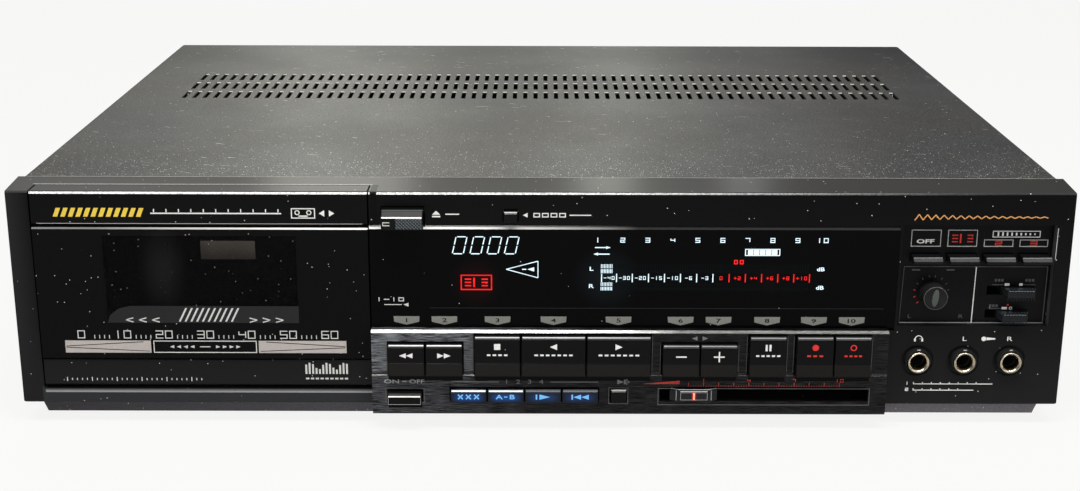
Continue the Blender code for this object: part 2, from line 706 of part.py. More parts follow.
# Keys and buttons that are pressed in
KEY_CHAMFER = 0.0013
KEY_CREASE_RISE = 0.0056
KEY_BACK = 0.008
KEY_STEM_WIDTH = 0.004
KEY_STEM_BACK = 0.0115
KEY_EDGE = 0.0003
BUTTON_BACK = 0.006
BUTTON_CHAMFER = 0.0009
EJECT_SLOPE = 0.0024
EJECT_BACK = 0.012
RESET_PROUD = 0.003


def pressed(name, x0, x1, outline, material):
    """A key from its side outline, with its origin in the middle of its front."""
    bm = bmesh.new()
    prism(bm, outline, "x", x0, x1)
    depths = [y for y, _ in outline]
    levels = [z for _, z in outline]
    origin = ((x0 + x1) / 2, min(depths), (min(levels) + max(levels)) / 2)
    bevel_edges(bm, lambda edge: all(vert.co.y < FACE for vert in edge.verts), KEY_EDGE)
    return part(name, bm, material, origin=origin)


def transport_keys():
    material = finish("black_key_moulding", "#1a1a1c", 0.3)
    low = BAND_STEP
    rear = back(KEY_BACK)
    for keys, height in key_columns():
        top = low + height
        half_stem = KEY_STEM_WIDTH / 2
        middle = low + height / 2
        outline = [(rear, low), (back(-KEY_FOOT_PROUD), low),
                   (back(-KEY_PROUD), low + KEY_CREASE_RISE), (back(-KEY_PROUD), top - KEY_CHAMFER),
                   (back(KEY_CHAMFER - KEY_PROUD), top), (rear, top),
                   (rear, middle + half_stem), (back(KEY_STEM_BACK), middle + half_stem),
                   (back(KEY_STEM_BACK), middle - half_stem), (rear, middle - half_stem)]
        for name, x0, x1 in keys:
            pressed(name, x0, x1, outline, material)


def button_outline(proud, low, height, chamfer, rear):
    front = back(-proud)
    return [(rear, low), (front, low), (front, low + height - chamfer),
            (front + chamfer, low + height), (rear, low + height)]


def buttons():
    black = finish("black_button_moulding", "#151517", 0.3)
    backlit = finish("backlit_button_caps", "#16181d", 0.3)
    rear = back(BUTTON_BACK)
    power = MODULE_LEFT + POWER_X
    pressed("power_button", power, power + POWER_WIDTH,
            button_outline(POWER_PROUD, ROW_LOW, POWER_HEIGHT, BUTTON_CHAMFER, rear), black)
    outline = button_outline(PROGRAM_PROUD, ROW_LOW, PROGRAM_HEIGHT, BUTTON_CHAMFER, rear)
    for name, x0, x1 in program_columns():
        pressed(name, x0, x1, outline, backlit)
    skip = MODULE_LEFT + SKIP_X
    pressed("skip_button", skip, skip + SKIP_WIDTH, outline, black)

    (x0, z0), (x1, z1) = RESET_OPENING
    outline = button_outline(RESET_PROUD, z0 + KEY_GAP, z1 - z0 - 2 * KEY_GAP, BUTTON_CHAMFER, rear)
    pressed("counter_reset_button", x0 + KEY_GAP, x1 - KEY_GAP, outline, black)

    (x0, z0), (x1, z1) = EJECT_OPENING
    low = z0 + KEY_GAP
    top = z1 - KEY_GAP
    front = back(-EJECT_PROUD)
    outline = [(back(EJECT_BACK), low), (front, low), (front, top - EJECT_SLOPE),
               (front + EJECT_SLOPE, top), (back(EJECT_BACK), top)]
    pressed("eject_key", x0 + KEY_GAP, x1 - KEY_GAP, outline, black)


# Record-level slider, with a rear plate that keeps it in its slot
LEVEL_KNOB_LENGTH = 0.019
LEVEL_KNOB_START = 0.0036
LEVEL_WING = 0.0035
LEVEL_PLATE = 0.001
LEVEL_PLATE_LIP = 0.0011


def record_level_slider():
    (slot_left, low), (_, high) = SLOT
    x0 = slot_left + LEVEL_KNOB_START + KEY_GAP
    x1 = x0 + LEVEL_KNOB_LENGTH
    band = back(-LOWER_BAND_PROUD)
    front = back(-LEVEL_KNOB_PROUD)
    plate_front = back(FASCIA_WALL - UPPER_BAND_PROUD) + FIT_GAP
    bm = bmesh.new()
    prism(bm, [(x0, plate_front + LEVEL_PLATE / 2), (x0, band), (x0 + LEVEL_WING, front),
               (x1 - LEVEL_WING, front), (x1, band), (x1, plate_front + LEVEL_PLATE / 2)],
          "z", low + KEY_GAP, high - KEY_GAP)
    piece = part("record_level_slider", bm, finish("smoked_slider_moulding", "#202122", 0.2),
                 origin=((x0 + x1) / 2, front, (low + high) / 2))
    join(piece, "rear_plate", boxes(((x0, plate_front, low - LEVEL_PLATE_LIP),
                                     (x1, plate_front + LEVEL_PLATE, high + LEVEL_PLATE_LIP))))
    return piece


# Selector panel in the right-hand recess, with its keys, knob and slide switches
SELECTOR_SHEET = 0.0015
SELECTOR_LIP = 0.0015
BAR_KEY_WIDTH = 0.0116
BAR_KEY_PITCH = 0.0143
BAR_KEY_HEIGHT = 0.0026
BAR_KEY_X = 0.0043
BAR_KEY_DROP = 0.013
BAR_KEY_PROUD = 0.0026
BAR_KEY_BACK = 0.012
KNOB_X = 0.0135
KNOB_DROP = 0.029
KNOB_RADIUS = 0.0053
KNOB_PROUD = 0.004
KNOB_SHAFT_RADIUS = 0.0018
KNOB_SHAFT_BACK = 0.014
KNOB_WAIST = 0.0048
KNOB_EDGE = 0.0007
SWITCH_X = 0.0355
SWITCH_HEIGHT = 0.0038
SWITCH_PROUD = 0.002
SWITCH_TAPER = 0.001
SWITCH_REAR = 0.003
SWITCH_REAR_LIP = 0.0012
UPPER_SWITCH_DROP = 0.0262
UPPER_SLOT_LENGTH = 0.019
UPPER_KNOB_LENGTH = 0.0125
LOWER_SWITCH_DROP = 0.0362
LOWER_SLOT_LENGTH = 0.017
LOWER_KNOB_LENGTH = 0.012

PANEL_FRONT = back(FACE_PLATE + FIT_GAP)
PANEL_REAR = PANEL_FRONT + SELECTOR_SHEET
RECESS_TOP = down(RECESS_TOP_DROP)
KNOB_CENTRE = (RECESS_LEFT + KNOB_X, RECESS_TOP - KNOB_DROP)
BAR_KEY_NAMES = ("reduction_off_key", "reduction_a_key", "reduction_b_key", "reduction_c_key")
SWITCHES = (("upper_slide_switch", UPPER_SWITCH_DROP, UPPER_SLOT_LENGTH, UPPER_KNOB_LENGTH),
            ("lower_slide_switch", LOWER_SWITCH_DROP, LOWER_SLOT_LENGTH, LOWER_KNOB_LENGTH))


def bar_key_columns():
    for i, name in enumerate(BAR_KEY_NAMES):
        left = RECESS_LEFT + BAR_KEY_X + i * BAR_KEY_PITCH
        yield name, left, left + BAR_KEY_WIDTH


def selector_panel():
    bm = boxes(((RIB_RIGHT + FIT_GAP, PANEL_FRONT, RECESS_LOW - SELECTOR_LIP),
                (RECESS_RIGHT + SELECTOR_LIP, PANEL_REAR, RECESS_TOP + SELECTOR_LIP)))
    piece = part("selector_panel", bm, finish("black_selector_panel", "#171719", 0.4))
    top = RECESS_TOP - BAR_KEY_DROP
    openings = []
    for _, x0, x1 in bar_key_columns():
        openings.append(((x0 - KEY_GAP, top - BAR_KEY_HEIGHT - KEY_GAP), (x1 + KEY_GAP, top + KEY_GAP)))
    for _, drop, slot, _ in SWITCHES:
        left = RECESS_LEFT + SWITCH_X
        high = RECESS_TOP - drop
        openings.append(((left, high - SWITCH_HEIGHT), (left + slot, high)))
    cut(piece, "slots", boxes(*[through(opening, PANEL_FRONT - OVERRUN, PANEL_REAR + OVERRUN)
                                for opening in openings]))
    bm = bmesh.new()
    rod(bm, "y", (KNOB_CENTRE[0], 0, KNOB_CENTRE[1]), KNOB_SHAFT_RADIUS + BORE_GAP,
        PANEL_FRONT - OVERRUN, PANEL_REAR + OVERRUN, SMALL_STEPS)
    cut(piece, "knob_hole", bm)
    return piece


def bar_keys():
    material = finish("black_bar_keys", "#232427", 0.25)
    top = RECESS_TOP - BAR_KEY_DROP
    outline = button_outline(BAR_KEY_PROUD, top - BAR_KEY_HEIGHT, BAR_KEY_HEIGHT,
                             KEY_EDGE, back(BAR_KEY_BACK))
    for name, x0, x1 in bar_key_columns():
        pressed(name, x0, x1, outline, material)


def balance_knob():
    x, z = KNOB_CENTRE
    front = back(-KNOB_PROUD)
    skirt = PANEL_FRONT - FIT_GAP
    bm = bmesh.new()
    turned(bm, [(0, front), (KNOB_WAIST - KNOB_EDGE, front), (KNOB_WAIST, front + KNOB_EDGE),
                (KNOB_RADIUS, skirt), (KNOB_SHAFT_RADIUS, skirt),
                (KNOB_SHAFT_RADIUS, back(KNOB_SHAFT_BACK)), (0, back(KNOB_SHAFT_BACK))],
           "y", (x, 0, z), ROUND_STEPS)
    return part("balance_knob", bm, finish("black_knob_moulding", "#2a2a2c", 0.35),
                origin=(x, front, z), smooth=True)


def slide_switches():
    material = finish("grey_switch_moulding", "#2c3036", 0.3)
    front = back(-SWITCH_PROUD)
    for name, drop, slot, length in SWITCHES:
        x1 = RECESS_LEFT + SWITCH_X + slot - KEY_GAP
        x0 = x1 - length
        high = RECESS_TOP - drop
        low = high - SWITCH_HEIGHT
        rear = PANEL_REAR + FIT_GAP
        bm = bmesh.new()
        prism(bm, [(x0, rear + SWITCH_REAR / 2), (x0, PANEL_FRONT), (x0 + SWITCH_TAPER, front),
                   (x1 - SWITCH_TAPER, front), (x1, PANEL_FRONT), (x1, rear + SWITCH_REAR / 2)],
              "z", low + KEY_GAP, high - KEY_GAP)
        piece = part(name, bm, material, origin=((x0 + x1) / 2, front, (low + high) / 2))
        join(piece, "slide", boxes(((x0, rear, low - SWITCH_REAR_LIP),
                                    (x1, rear + SWITCH_REAR, high + SWITCH_REAR_LIP))))


# Three sockets for 6.35 mm plugs
JACK_BORE = 0.0032
JACK_RING_RADIUS = 0.00485
JACK_PROUD = 0.003
JACK_RING = 0.0034
JACK_LENGTH = 0.026
JACK_BORE_DEPTH = 0.024
JACK_BODY_RADIUS = 0.006
JACK_LEAD_IN = 0.0004


def jacks():
    material = finish("champagne_nickel", "#b3a68c", 0.3, 0.9)
    front = back(-JACK_PROUD)
    seat = back(FACE_PLATE + FIT_GAP)
    rear = front + JACK_LENGTH
    bore_end = front + JACK_BORE_DEPTH
    for name, x in jack_places().items():
        bm = bmesh.new()
        turned(bm, [(0, rear), (JACK_BODY_RADIUS, rear), (JACK_BODY_RADIUS, seat),
                    (JACK_RADIUS, seat), (JACK_RADIUS, front + JACK_RING),
                    (JACK_RING_RADIUS, front + JACK_RING), (JACK_RING_RADIUS, front),
                    (JACK_BORE + JACK_LEAD_IN, front), (JACK_BORE, front + JACK_LEAD_IN),
                    (JACK_BORE, bore_end), (0, bore_end)], "y", (x, 0, JACK_Z), SMALL_STEPS)
        part(name, bm, material, origin=(x, front, JACK_Z), smooth=True)


# Cassette door: outer frame, smoked window and the holder behind it
DOOR_SHELL = 0.0025
DOOR_RIM = 0.002
DOOR_BOTTOM_RIM = 0.005
DOOR_LENS_DROP = 0.0144
DOOR_LENS_RISE = 0.0112
DOOR_LENS_THICKNESS = 0.0018
DOOR_LENS_PROUD = 0.0005
DOOR_LENS_CHAMFER = 0.0006
DOOR_STEP = 0.0012
WINDOW_MARGIN = 0.004
WINDOW_SIDE = 0.018
HOLDER_SHEET = 0.0012
HOLDER_HEIGHT = 0.056
HOLDER_CLEARANCE = 0.0005
HOLDER_LIP = 0.006
HOLDER_SHELF = 0.0095
HOLDER_WINDOW_MARGIN = 0.012
HOLDER_WINDOW_LOW = 0.004
POCKET_DEPTH_SLACK = 0.002

DOOR_LENS_BACK = back(DOOR_LENS_THICKNESS - DOOR_LENS_PROUD)
HOLDER_FRONT = back(DOOR_SHELL) + FIT_GAP
POCKET_FRONT = HOLDER_FRONT + HOLDER_SHEET
POCKET_REAR = POCKET_FRONT + CASSETTE_THICKNESS + POCKET_DEPTH_SLACK
HOLDER_REAR = POCKET_REAR + HOLDER_SHEET
POCKET_HALF = CASSETTE_WIDTH / 2 + HOLDER_CLEARANCE
CASSETTE_LOW = FLOOR_TOP + CASSETTE_LIFT


def door_frame():
    wrap = back(DOOR_WRAP)
    lens_low = DOOR_LOW + DOOR_LENS_RISE
    lens_top = down(DOOR_LENS_DROP)
    bm = bmesh.new()
    prism(bm, [(FACE, DOOR_LOW + EDGE_CHAMFER), (FACE, TOP - TOP_CHAMFER),
               (FACE + TOP_CHAMFER, TOP), (wrap, TOP), (wrap, DOOR_LOW + DOOR_BOTTOM_RIM),
               (back(DOOR_BOTTOM_RIM), DOOR_LOW), (FACE + EDGE_CHAMFER, DOOR_LOW)],
          "x", DOOR_LEFT, DOOR_RIGHT)
    piece = part("door_frame", bm, finish("black_door_moulding", "#1b1b1c", 0.3),
                 origin=(DOOR_MIDDLE, HINGE_Y, HINGE_Z))
    shell = back(DOOR_SHELL)
    cut(piece, "hollow", boxes(((DOOR_LEFT + DOOR_RIM, shell, DOOR_LOW + DOOR_RIM),
                                (DOOR_RIGHT - DOOR_RIM, wrap + OVERRUN, TOP - DOOR_RIM))))
    bm = bmesh.new()
    prism(bm, [(FACE - OVERRUN, lens_low), (DOOR_LENS_BACK + FIT_GAP, lens_low),
               (DOOR_LENS_BACK + FIT_GAP, lens_top), (FACE, lens_top + DOOR_STEP),
               (FACE - OVERRUN, lens_top + DOOR_STEP)],
          "x", DOOR_LEFT - OVERRUN, DOOR_RIGHT + OVERRUN)
    cut(piece, "lens_seat", bm)
    cut(piece, "window", boxes(((DOOR_LEFT + WINDOW_SIDE, FACE - OVERRUN, lens_low + WINDOW_MARGIN),
                                (DOOR_RIGHT - WINDOW_SIDE, shell + OVERRUN, lens_top - WINDOW_MARGIN))))
    bm = bmesh.new()
    centre = (0, HINGE_Y, HINGE_Z)
    rod(bm, "x", centre, HINGE_RADIUS, DOOR_LEFT - HINGE_REACH, DOOR_LEFT + ROOT_SINK, TINY_STEPS)
    rod(bm, "x", centre, HINGE_RADIUS, DOOR_RIGHT - ROOT_SINK, DOOR_RIGHT + HINGE_REACH, TINY_STEPS)
    join(piece, "hinge_pins", bm)
    return piece


def door_window():
    front = back(-DOOR_LENS_PROUD)
    low = DOOR_LOW + DOOR_LENS_RISE + FIT_GAP
    top = down(DOOR_LENS_DROP) - FIT_GAP
    bm = bmesh.new()
    prism(bm, [(DOOR_LENS_BACK, low), (front + DOOR_LENS_CHAMFER, low), (front, low + DOOR_LENS_CHAMFER),
               (front, top - DOOR_LENS_CHAMFER), (front + DOOR_LENS_CHAMFER, top), (DOOR_LENS_BACK, top)],
          "x", DOOR_LEFT, DOOR_RIGHT)
    return part("door_window", bm, finish("smoked_acrylic", "#101012", 0.06),
                origin=(DOOR_MIDDLE, HINGE_Y, HINGE_Z))


def cassette_holder():
    low = CASSETTE_LOW - HOLDER_CLEARANCE - HOLDER_SHEET
    top = low + HOLDER_HEIGHT
    floor = low + HOLDER_SHEET
    half = POCKET_HALF + HOLDER_SHEET
    bm = boxes(((DOOR_MIDDLE - half, HOLDER_FRONT, low), (DOOR_MIDDLE + half, HOLDER_REAR, top)))
    piece = part("cassette_holder", bm, finish("black_holder_moulding", "#202022", 0.5),
                 origin=(DOOR_MIDDLE, HINGE_Y, HINGE_Z))
    lip = POCKET_HALF - HOLDER_LIP
    shelf = POCKET_HALF - HOLDER_SHELF
    window = CASSETTE_WIDTH / 2 - HOLDER_WINDOW_MARGIN
    cut(piece, "pocket", boxes(((DOOR_MIDDLE - POCKET_HALF, POCKET_FRONT, floor),
                                (DOOR_MIDDLE + POCKET_HALF, POCKET_REAR, top + OVERRUN))))
    cut(piece, "rear_mouth", boxes(((DOOR_MIDDLE - lip, POCKET_REAR - OVERRUN, floor - OVERRUN),
                                    (DOOR_MIDDLE + lip, HOLDER_REAR + OVERRUN, top + OVERRUN))))
    cut(piece, "tape_mouth", boxes(((DOOR_MIDDLE - shelf, POCKET_FRONT, low - OVERRUN),
                                    (DOOR_MIDDLE + shelf, HOLDER_REAR + OVERRUN, floor + OVERRUN))))
    cut(piece, "window", boxes(((DOOR_MIDDLE - window, HOLDER_FRONT - OVERRUN, floor + HOLDER_WINDOW_LOW),
                                (DOOR_MIDDLE + window, POCKET_FRONT + OVERRUN,
                                 top - HOLDER_WINDOW_LOW))))
    return piece


# Tape mechanism behind the door
MECHANISM_FRONT = 0.025
MECHANISM_SHEET = 0.0015
MECHANISM_HALF = 0.06
MECHANISM_TOP_DROP = 0.012
BEARING_RADIUS = 0.0035
BEARING_REACH = 0.005
CAPSTAN_RADIUS = 0.00125
CAPSTAN_TIP = 0.009
FLYWHEEL_RADIUS = 0.0225
FLYWHEEL_FRONT = 0.033
FLYWHEEL_THICKNESS = 0.006
FLYWHEEL_RIM = 0.004
FLYWHEEL_WEB = 0.0025
FLYWHEEL_HUB = 0.005
GROOVE = 0.0006
GROOVE_LIP = 0.001
BRACKET_FRONT = 0.044
BRACKET_SHEET = 0.0015
POST_RADIUS = 0.0025
POST_INSET = 0.005
BRACKET_TOP_DROP = 0.007
MOTOR_X = 0.052
MOTOR_DROP = 0.023
MOTOR_RADIUS = 0.0155
MOTOR_LENGTH = 0.024
MOTOR_SHAFT_RADIUS = 0.001
MOTOR_NECK_RADIUS = 0.003
MOTOR_NECK = 0.0015
PULLEY_RADIUS = 0.0045
PULLEY_LIP = 0.0015
BELT_THICKNESS = 0.0008
BELT_WIDTH = 0.003
BELT_ARC_STEP = math.radians(15)

CAPSTAN_Z = CASSETTE_LOW + CAPSTAN_HEIGHT
SPINDLE_Z = CASSETTE_LOW + HUB_HEIGHT
PLATE_FRONT = back(MECHANISM_FRONT)
PLATE_REAR = PLATE_FRONT + MECHANISM_SHEET
WHEEL_FRONT = back(FLYWHEEL_FRONT)
WHEEL_REAR = WHEEL_FRONT + FLYWHEEL_THICKNESS
WHEEL_MIDDLE = (WHEEL_FRONT + WHEEL_REAR) / 2
REAR_BRACKET = back(BRACKET_FRONT)
MOTOR_FRONT = REAR_BRACKET + BRACKET_SHEET + FIT_GAP
MOTOR_CENTRE = (DOOR_MIDDLE + MOTOR_X, down(MOTOR_DROP))
CAPSTANS = {"left": DOOR_MIDDLE - CAPSTAN_SPACING / 2, "right": DOOR_MIDDLE + CAPSTAN_SPACING / 2}
SPINDLES = {"left": DOOR_MIDDLE - HUB_SPACING / 2, "right": DOOR_MIDDLE + HUB_SPACING / 2}

# Reel spindles
SPINDLE_RADIUS = 0.0034
SPINDLE_TIP_RADIUS = 0.0016
SPINDLE_TIP = 0.0095
SPINDLE_CONE = 0.002
SPINDLE_TABLE_RADIUS = 0.009
SPINDLE_TABLE = 0.0015
SPINDLE_SHAFT_RADIUS = 0.0015
SPINDLE_SHAFT_BACK = 0.0295
SPINDLE_FIN = 0.0009
SPINDLE_FIN_REACH = 0.0045
SPINDLE_FIN_LENGTH = 0.006
SPINDLE_FINS = 3

# Head carriage and pinch rollers
CARRIAGE_TRAVEL = 0.005
CARRIAGE_HALF = 0.036
CARRIAGE_SHEET = 0.0012
CARRIAGE_HEIGHT = 0.009
CARRIAGE_GAP = 0.0014
ROLLER_RADIUS = 0.005
ROLLER_BORE = 0.0014
ROLLER_PIN_RADIUS = 0.001
ROLLER_FRONT = 0.011
ROLLER_REAR = 0.018
ROLLER_PIN_TIP = 0.0095
ROLLER_REST_GAP = 0.0004
ROLLER_SHOULDER_RADIUS = 0.0024
HEAD_HALF = 0.0075
HEAD_HEIGHT = 0.009
HEAD_FRONT = 0.0085
HEAD_CROWN = 0.002
ERASE_OFFSET = 0.0145
ERASE_HALF = 0.0035
ERASE_HEIGHT = 0.007
GUIDE_WIDTH = 0.002
GUIDE_HEIGHT = 0.018

ROLLER_Z = CAPSTAN_Z - CAPSTAN_RADIUS - ROLLER_RADIUS - CARRIAGE_TRAVEL - ROLLER_REST_GAP
CARRIAGE_REAR = PLATE_FRONT - FIT_GAP
CARRIAGE_FRONT = CARRIAGE_REAR - CARRIAGE_SHEET
CARRIAGE_TOP = CAPSTAN_Z - BEARING_RADIUS - CARRIAGE_GAP - CARRIAGE_TRAVEL
CARRIAGE_LOW = CARRIAGE_TOP - CARRIAGE_HEIGHT
HEAD_TOP = CASSETTE_LOW - HOLDER_CLEARANCE


def mechanism_plate():
    low = FLOOR_TOP + FIT_GAP
    bm = boxes(((DOOR_MIDDLE - MECHANISM_HALF, PLATE_FRONT, low),
                (DOOR_MIDDLE + MECHANISM_HALF, PLATE_REAR, down(MECHANISM_TOP_DROP))))
    piece = part("mechanism_plate", bm, finish("zinc_plated_steel", "#a9aaa6", 0.35, 1.0))
    sunk = PLATE_FRONT + MECHANISM_SHEET / 2
    bm = bmesh.new()
    for x in CAPSTANS.values():
        rod(bm, "y", (x, 0, CAPSTAN_Z), BEARING_RADIUS, PLATE_FRONT - BEARING_REACH, sunk, SMALL_STEPS)
    join(piece, "bearings", bm)
    inner = CARRIAGE_HALF + FIT_GAP
    front = CARRIAGE_FRONT - CARRIAGE_SHEET
    join(piece, "guides", boxes(*[((x, front, low), (x + GUIDE_WIDTH, sunk, low + GUIDE_HEIGHT))
                                  for x in (DOOR_MIDDLE + inner, DOOR_MIDDLE - inner - GUIDE_WIDTH)]))
    bm = bmesh.new()
    front = PLATE_FRONT - BEARING_REACH - OVERRUN
    rear = PLATE_REAR + OVERRUN
    for x in CAPSTANS.values():
        rod(bm, "y", (x, 0, CAPSTAN_Z), CAPSTAN_RADIUS + FIT_GAP, front, rear, TINY_STEPS)
    for x in SPINDLES.values():
        rod(bm, "y", (x, 0, SPINDLE_Z), SPINDLE_SHAFT_RADIUS + FIT_GAP, front, rear, TINY_STEPS)
    cut(piece, "bores", bm)
    return piece


def post_places():
    inset = MECHANISM_HALF - POST_INSET
    low = FLOOR_TOP + FIT_GAP + POST_INSET
    high = down(MECHANISM_TOP_DROP + POST_INSET)
    return [(DOOR_MIDDLE - inset, low), (DOOR_MIDDLE - inset, high), (DOOR_MIDDLE + inset, low)]


def flywheel_bracket():
    right = MOTOR_CENTRE[0] + MOTOR_RADIUS
    rear = REAR_BRACKET + BRACKET_SHEET
    bm = boxes(((DOOR_MIDDLE - MECHANISM_HALF, REAR_BRACKET, FLOOR_TOP + FIT_GAP),
                (right, rear, down(BRACKET_TOP_DROP))))
    piece = part("flywheel_bracket", bm, finish("zinc_plated_bracket", "#9c9d9a", 0.4, 1.0))
    bm = bmesh.new()
    for x, z in post_places():
        rod(bm, "y", (x, 0, z), POST_RADIUS, PLATE_REAR + FIT_GAP, REAR_BRACKET + BRACKET_SHEET / 2,
            TINY_STEPS)
    join(piece, "posts", bm)
    bm = bmesh.new()
    rod(bm, "y", (MOTOR_CENTRE[0], 0, MOTOR_CENTRE[1]), MOTOR_NECK_RADIUS + BORE_GAP,
        REAR_BRACKET - OVERRUN, rear + OVERRUN, TINY_STEPS)
    cut(piece, "motor_hole", bm)
    return piece


def capstan_motor():
    x, z = MOTOR_CENTRE
    rear = MOTOR_FRONT + MOTOR_LENGTH
    tip = WHEEL_FRONT
    neck = MOTOR_FRONT - MOTOR_NECK
    bm = bmesh.new()
    turned(bm, [(0, tip), (MOTOR_SHAFT_RADIUS, tip), (MOTOR_SHAFT_RADIUS, neck),
                (MOTOR_NECK_RADIUS, neck), (MOTOR_NECK_RADIUS, MOTOR_FRONT),
                (MOTOR_RADIUS, MOTOR_FRONT), (MOTOR_RADIUS, rear), (0, rear)],
           "y", (x, 0, z), FINE_STEPS)
    return part("capstan_motor", bm, finish("motor_can_steel", "#8f8f8c", 0.3, 1.0),
                origin=(x, MOTOR_FRONT, z), smooth=True)


def motor_pulley():
    x, z = MOTOR_CENTRE
    lip = PULLEY_RADIUS + PULLEY_LIP
    bore = MOTOR_SHAFT_RADIUS + FIT_GAP
    front = WHEEL_FRONT
    rear = WHEEL_REAR
    bm = bmesh.new()
    turned(bm, [(bore, rear), (lip, rear), (lip, rear - GROOVE_LIP), (PULLEY_RADIUS, rear - GROOVE_LIP),
                (PULLEY_RADIUS, front + GROOVE_LIP), (lip, front + GROOVE_LIP), (lip, front),
                (bore, front)], "y", (x, 0, z), ROUND_STEPS)
    return part("motor_pulley", bm, finish("turned_brass", "#c2a25a", 0.3, 1.0),
                origin=(x, WHEEL_MIDDLE, z), smooth=True)


def flywheels():
    material = finish("turned_flywheel_steel", "#b9b9b4", 0.25, 1.0)
    middle = WHEEL_MIDDLE
    web_front = WHEEL_REAR - FLYWHEEL_WEB
    rim = FLYWHEEL_RADIUS - FLYWHEEL_RIM
    lip = FLYWHEEL_RADIUS + GROOVE
    rear_tip = REAR_BRACKET - FIT_GAP
    profile = [(0, back(CAPSTAN_TIP)), (CAPSTAN_RADIUS, back(CAPSTAN_TIP)), (CAPSTAN_RADIUS, WHEEL_FRONT),
               (FLYWHEEL_HUB, WHEEL_FRONT), (FLYWHEEL_HUB, web_front), (rim, web_front),
               (rim, WHEEL_FRONT), (lip, WHEEL_FRONT), (lip, WHEEL_FRONT + GROOVE_LIP),
               (FLYWHEEL_RADIUS, WHEEL_FRONT + GROOVE_LIP), (FLYWHEEL_RADIUS, WHEEL_REAR - GROOVE_LIP),
               (lip, WHEEL_REAR - GROOVE_LIP), (lip, WHEEL_REAR), (CAPSTAN_RADIUS, WHEEL_REAR),
               (CAPSTAN_RADIUS, rear_tip), (0, rear_tip)]
    for side, x in CAPSTANS.items():
        bm = bmesh.new()
        turned(bm, profile, "y", (x, 0, CAPSTAN_Z), FINE_STEPS)
        part(f"flywheel_{side}", bm, material, origin=(x, middle, CAPSTAN_Z), smooth=True)


def belt_path(wheels):
    """Points and outward directions of a belt round wheels given as (x, z, radius, sense).

    A wheel inside the loop has sense 1 and one that runs on the belt's back has sense -1.
    """
    runs = []
    for i, (x, z, radius, sense) in enumerate(wheels):
        next_x, next_z, next_radius, next_sense = wheels[(i + 1) % len(wheels)]
        span = math.hypot(next_x - x, next_z - z)
        lean = math.asin((next_sense * next_radius - sense * radius) / span)
        heading = math.atan2(next_z - z, next_x - x) - lean
        runs.append(heading)
    path = []
    for i, (x, z, radius, sense) in enumerate(wheels):
        arrive = runs[i - 1] - sense * math.pi / 2
        leave = runs[i] - sense * math.pi / 2
        sweep = (sense * (leave - arrive)) % (2 * math.pi)
        steps = max(1, round(sweep / BELT_ARC_STEP))
        for k in range(steps + 1):
            angle = arrive + sense * sweep * k / steps
            outward = Vector((math.cos(angle), math.sin(angle)))
            path.append((Vector((x, z)) + outward * radius, outward * sense))
    return path


def drive_belt():
    half = BELT_THICKNESS / 2
    on_wheel = FLYWHEEL_RADIUS + FIT_GAP + half
    wheels = [(CAPSTANS["left"], CAPSTAN_Z, on_wheel, 1), (CAPSTANS["right"], CAPSTAN_Z, on_wheel, -1),
              (*MOTOR_CENTRE, PULLEY_RADIUS + FIT_GAP + half, 1)]
    front = WHEEL_MIDDLE - BELT_WIDTH / 2
    bm = bmesh.new()
    rings = []
    for point, outward in belt_path(wheels):
        outer = point + outward * half
        inner = point - outward * half
        rings.append([bm.verts.new((p.x, front, p.y)) for p in (outer, inner)])
    for (outer, inner), (next_outer, next_inner) in zip(rings, rings[1:] + rings[:1]):
        bm.faces.new((outer, next_outer, next_inner, inner))
    grown = bmesh.ops.extrude_face_region(bm, geom=bm.faces[:])
    moved = [item for item in grown["geom"] if isinstance(item, bmesh.types.BMVert)]
    bmesh.ops.translate(bm, verts=moved, vec=(0, BELT_WIDTH, 0))
    return part("drive_belt", bm, finish("belt_rubber", "#161616", 0.8))


def reel_spindles():
    material = finish("spindle_moulding", "#d9d9d2", 0.4)
    table_rear = PLATE_FRONT - FIT_GAP
    table_front = table_rear - SPINDLE_TABLE
    tip = back(SPINDLE_TIP)
    profile = [(0, tip), (SPINDLE_TIP_RADIUS, tip), (SPINDLE_RADIUS, tip + SPINDLE_CONE),
               (SPINDLE_RADIUS, table_front), (SPINDLE_TABLE_RADIUS, table_front),
               (SPINDLE_TABLE_RADIUS, table_rear), (SPINDLE_SHAFT_RADIUS, table_rear),
               (SPINDLE_SHAFT_RADIUS, back(SPINDLE_SHAFT_BACK)), (0, back(SPINDLE_SHAFT_BACK))]
    for side, x in SPINDLES.items():
        bm = bmesh.new()
        turned(bm, profile, "y", (x, 0, SPINDLE_Z), ROUND_STEPS)
        piece = part(f"reel_spindle_{side}", bm, material, origin=(x, PLATE_FRONT, SPINDLE_Z), smooth=True)
        bm = bmesh.new()
        fin_front = tip + SPINDLE_CONE
        for i in range(SPINDLE_FINS):
            fin = bmesh.new()
            box(fin, (SPINDLE_TIP_RADIUS, fin_front, -SPINDLE_FIN / 2),
                (SPINDLE_FIN_REACH, fin_front + SPINDLE_FIN_LENGTH, SPINDLE_FIN / 2))
            turn = Matrix.Rotation(2 * math.pi * i / SPINDLE_FINS, 4, 'Y')
            place = Matrix.Translation((x, 0, SPINDLE_Z)) @ turn
            bmesh.ops.transform(fin, matrix=place, verts=fin.verts[:])
            shape = bpy.data.meshes.new("fin")
            fin.to_mesh(shape)
            fin.free()
            bm.from_mesh(shape)
            bpy.data.meshes.remove(shape)
        join(piece, "fins", bm)


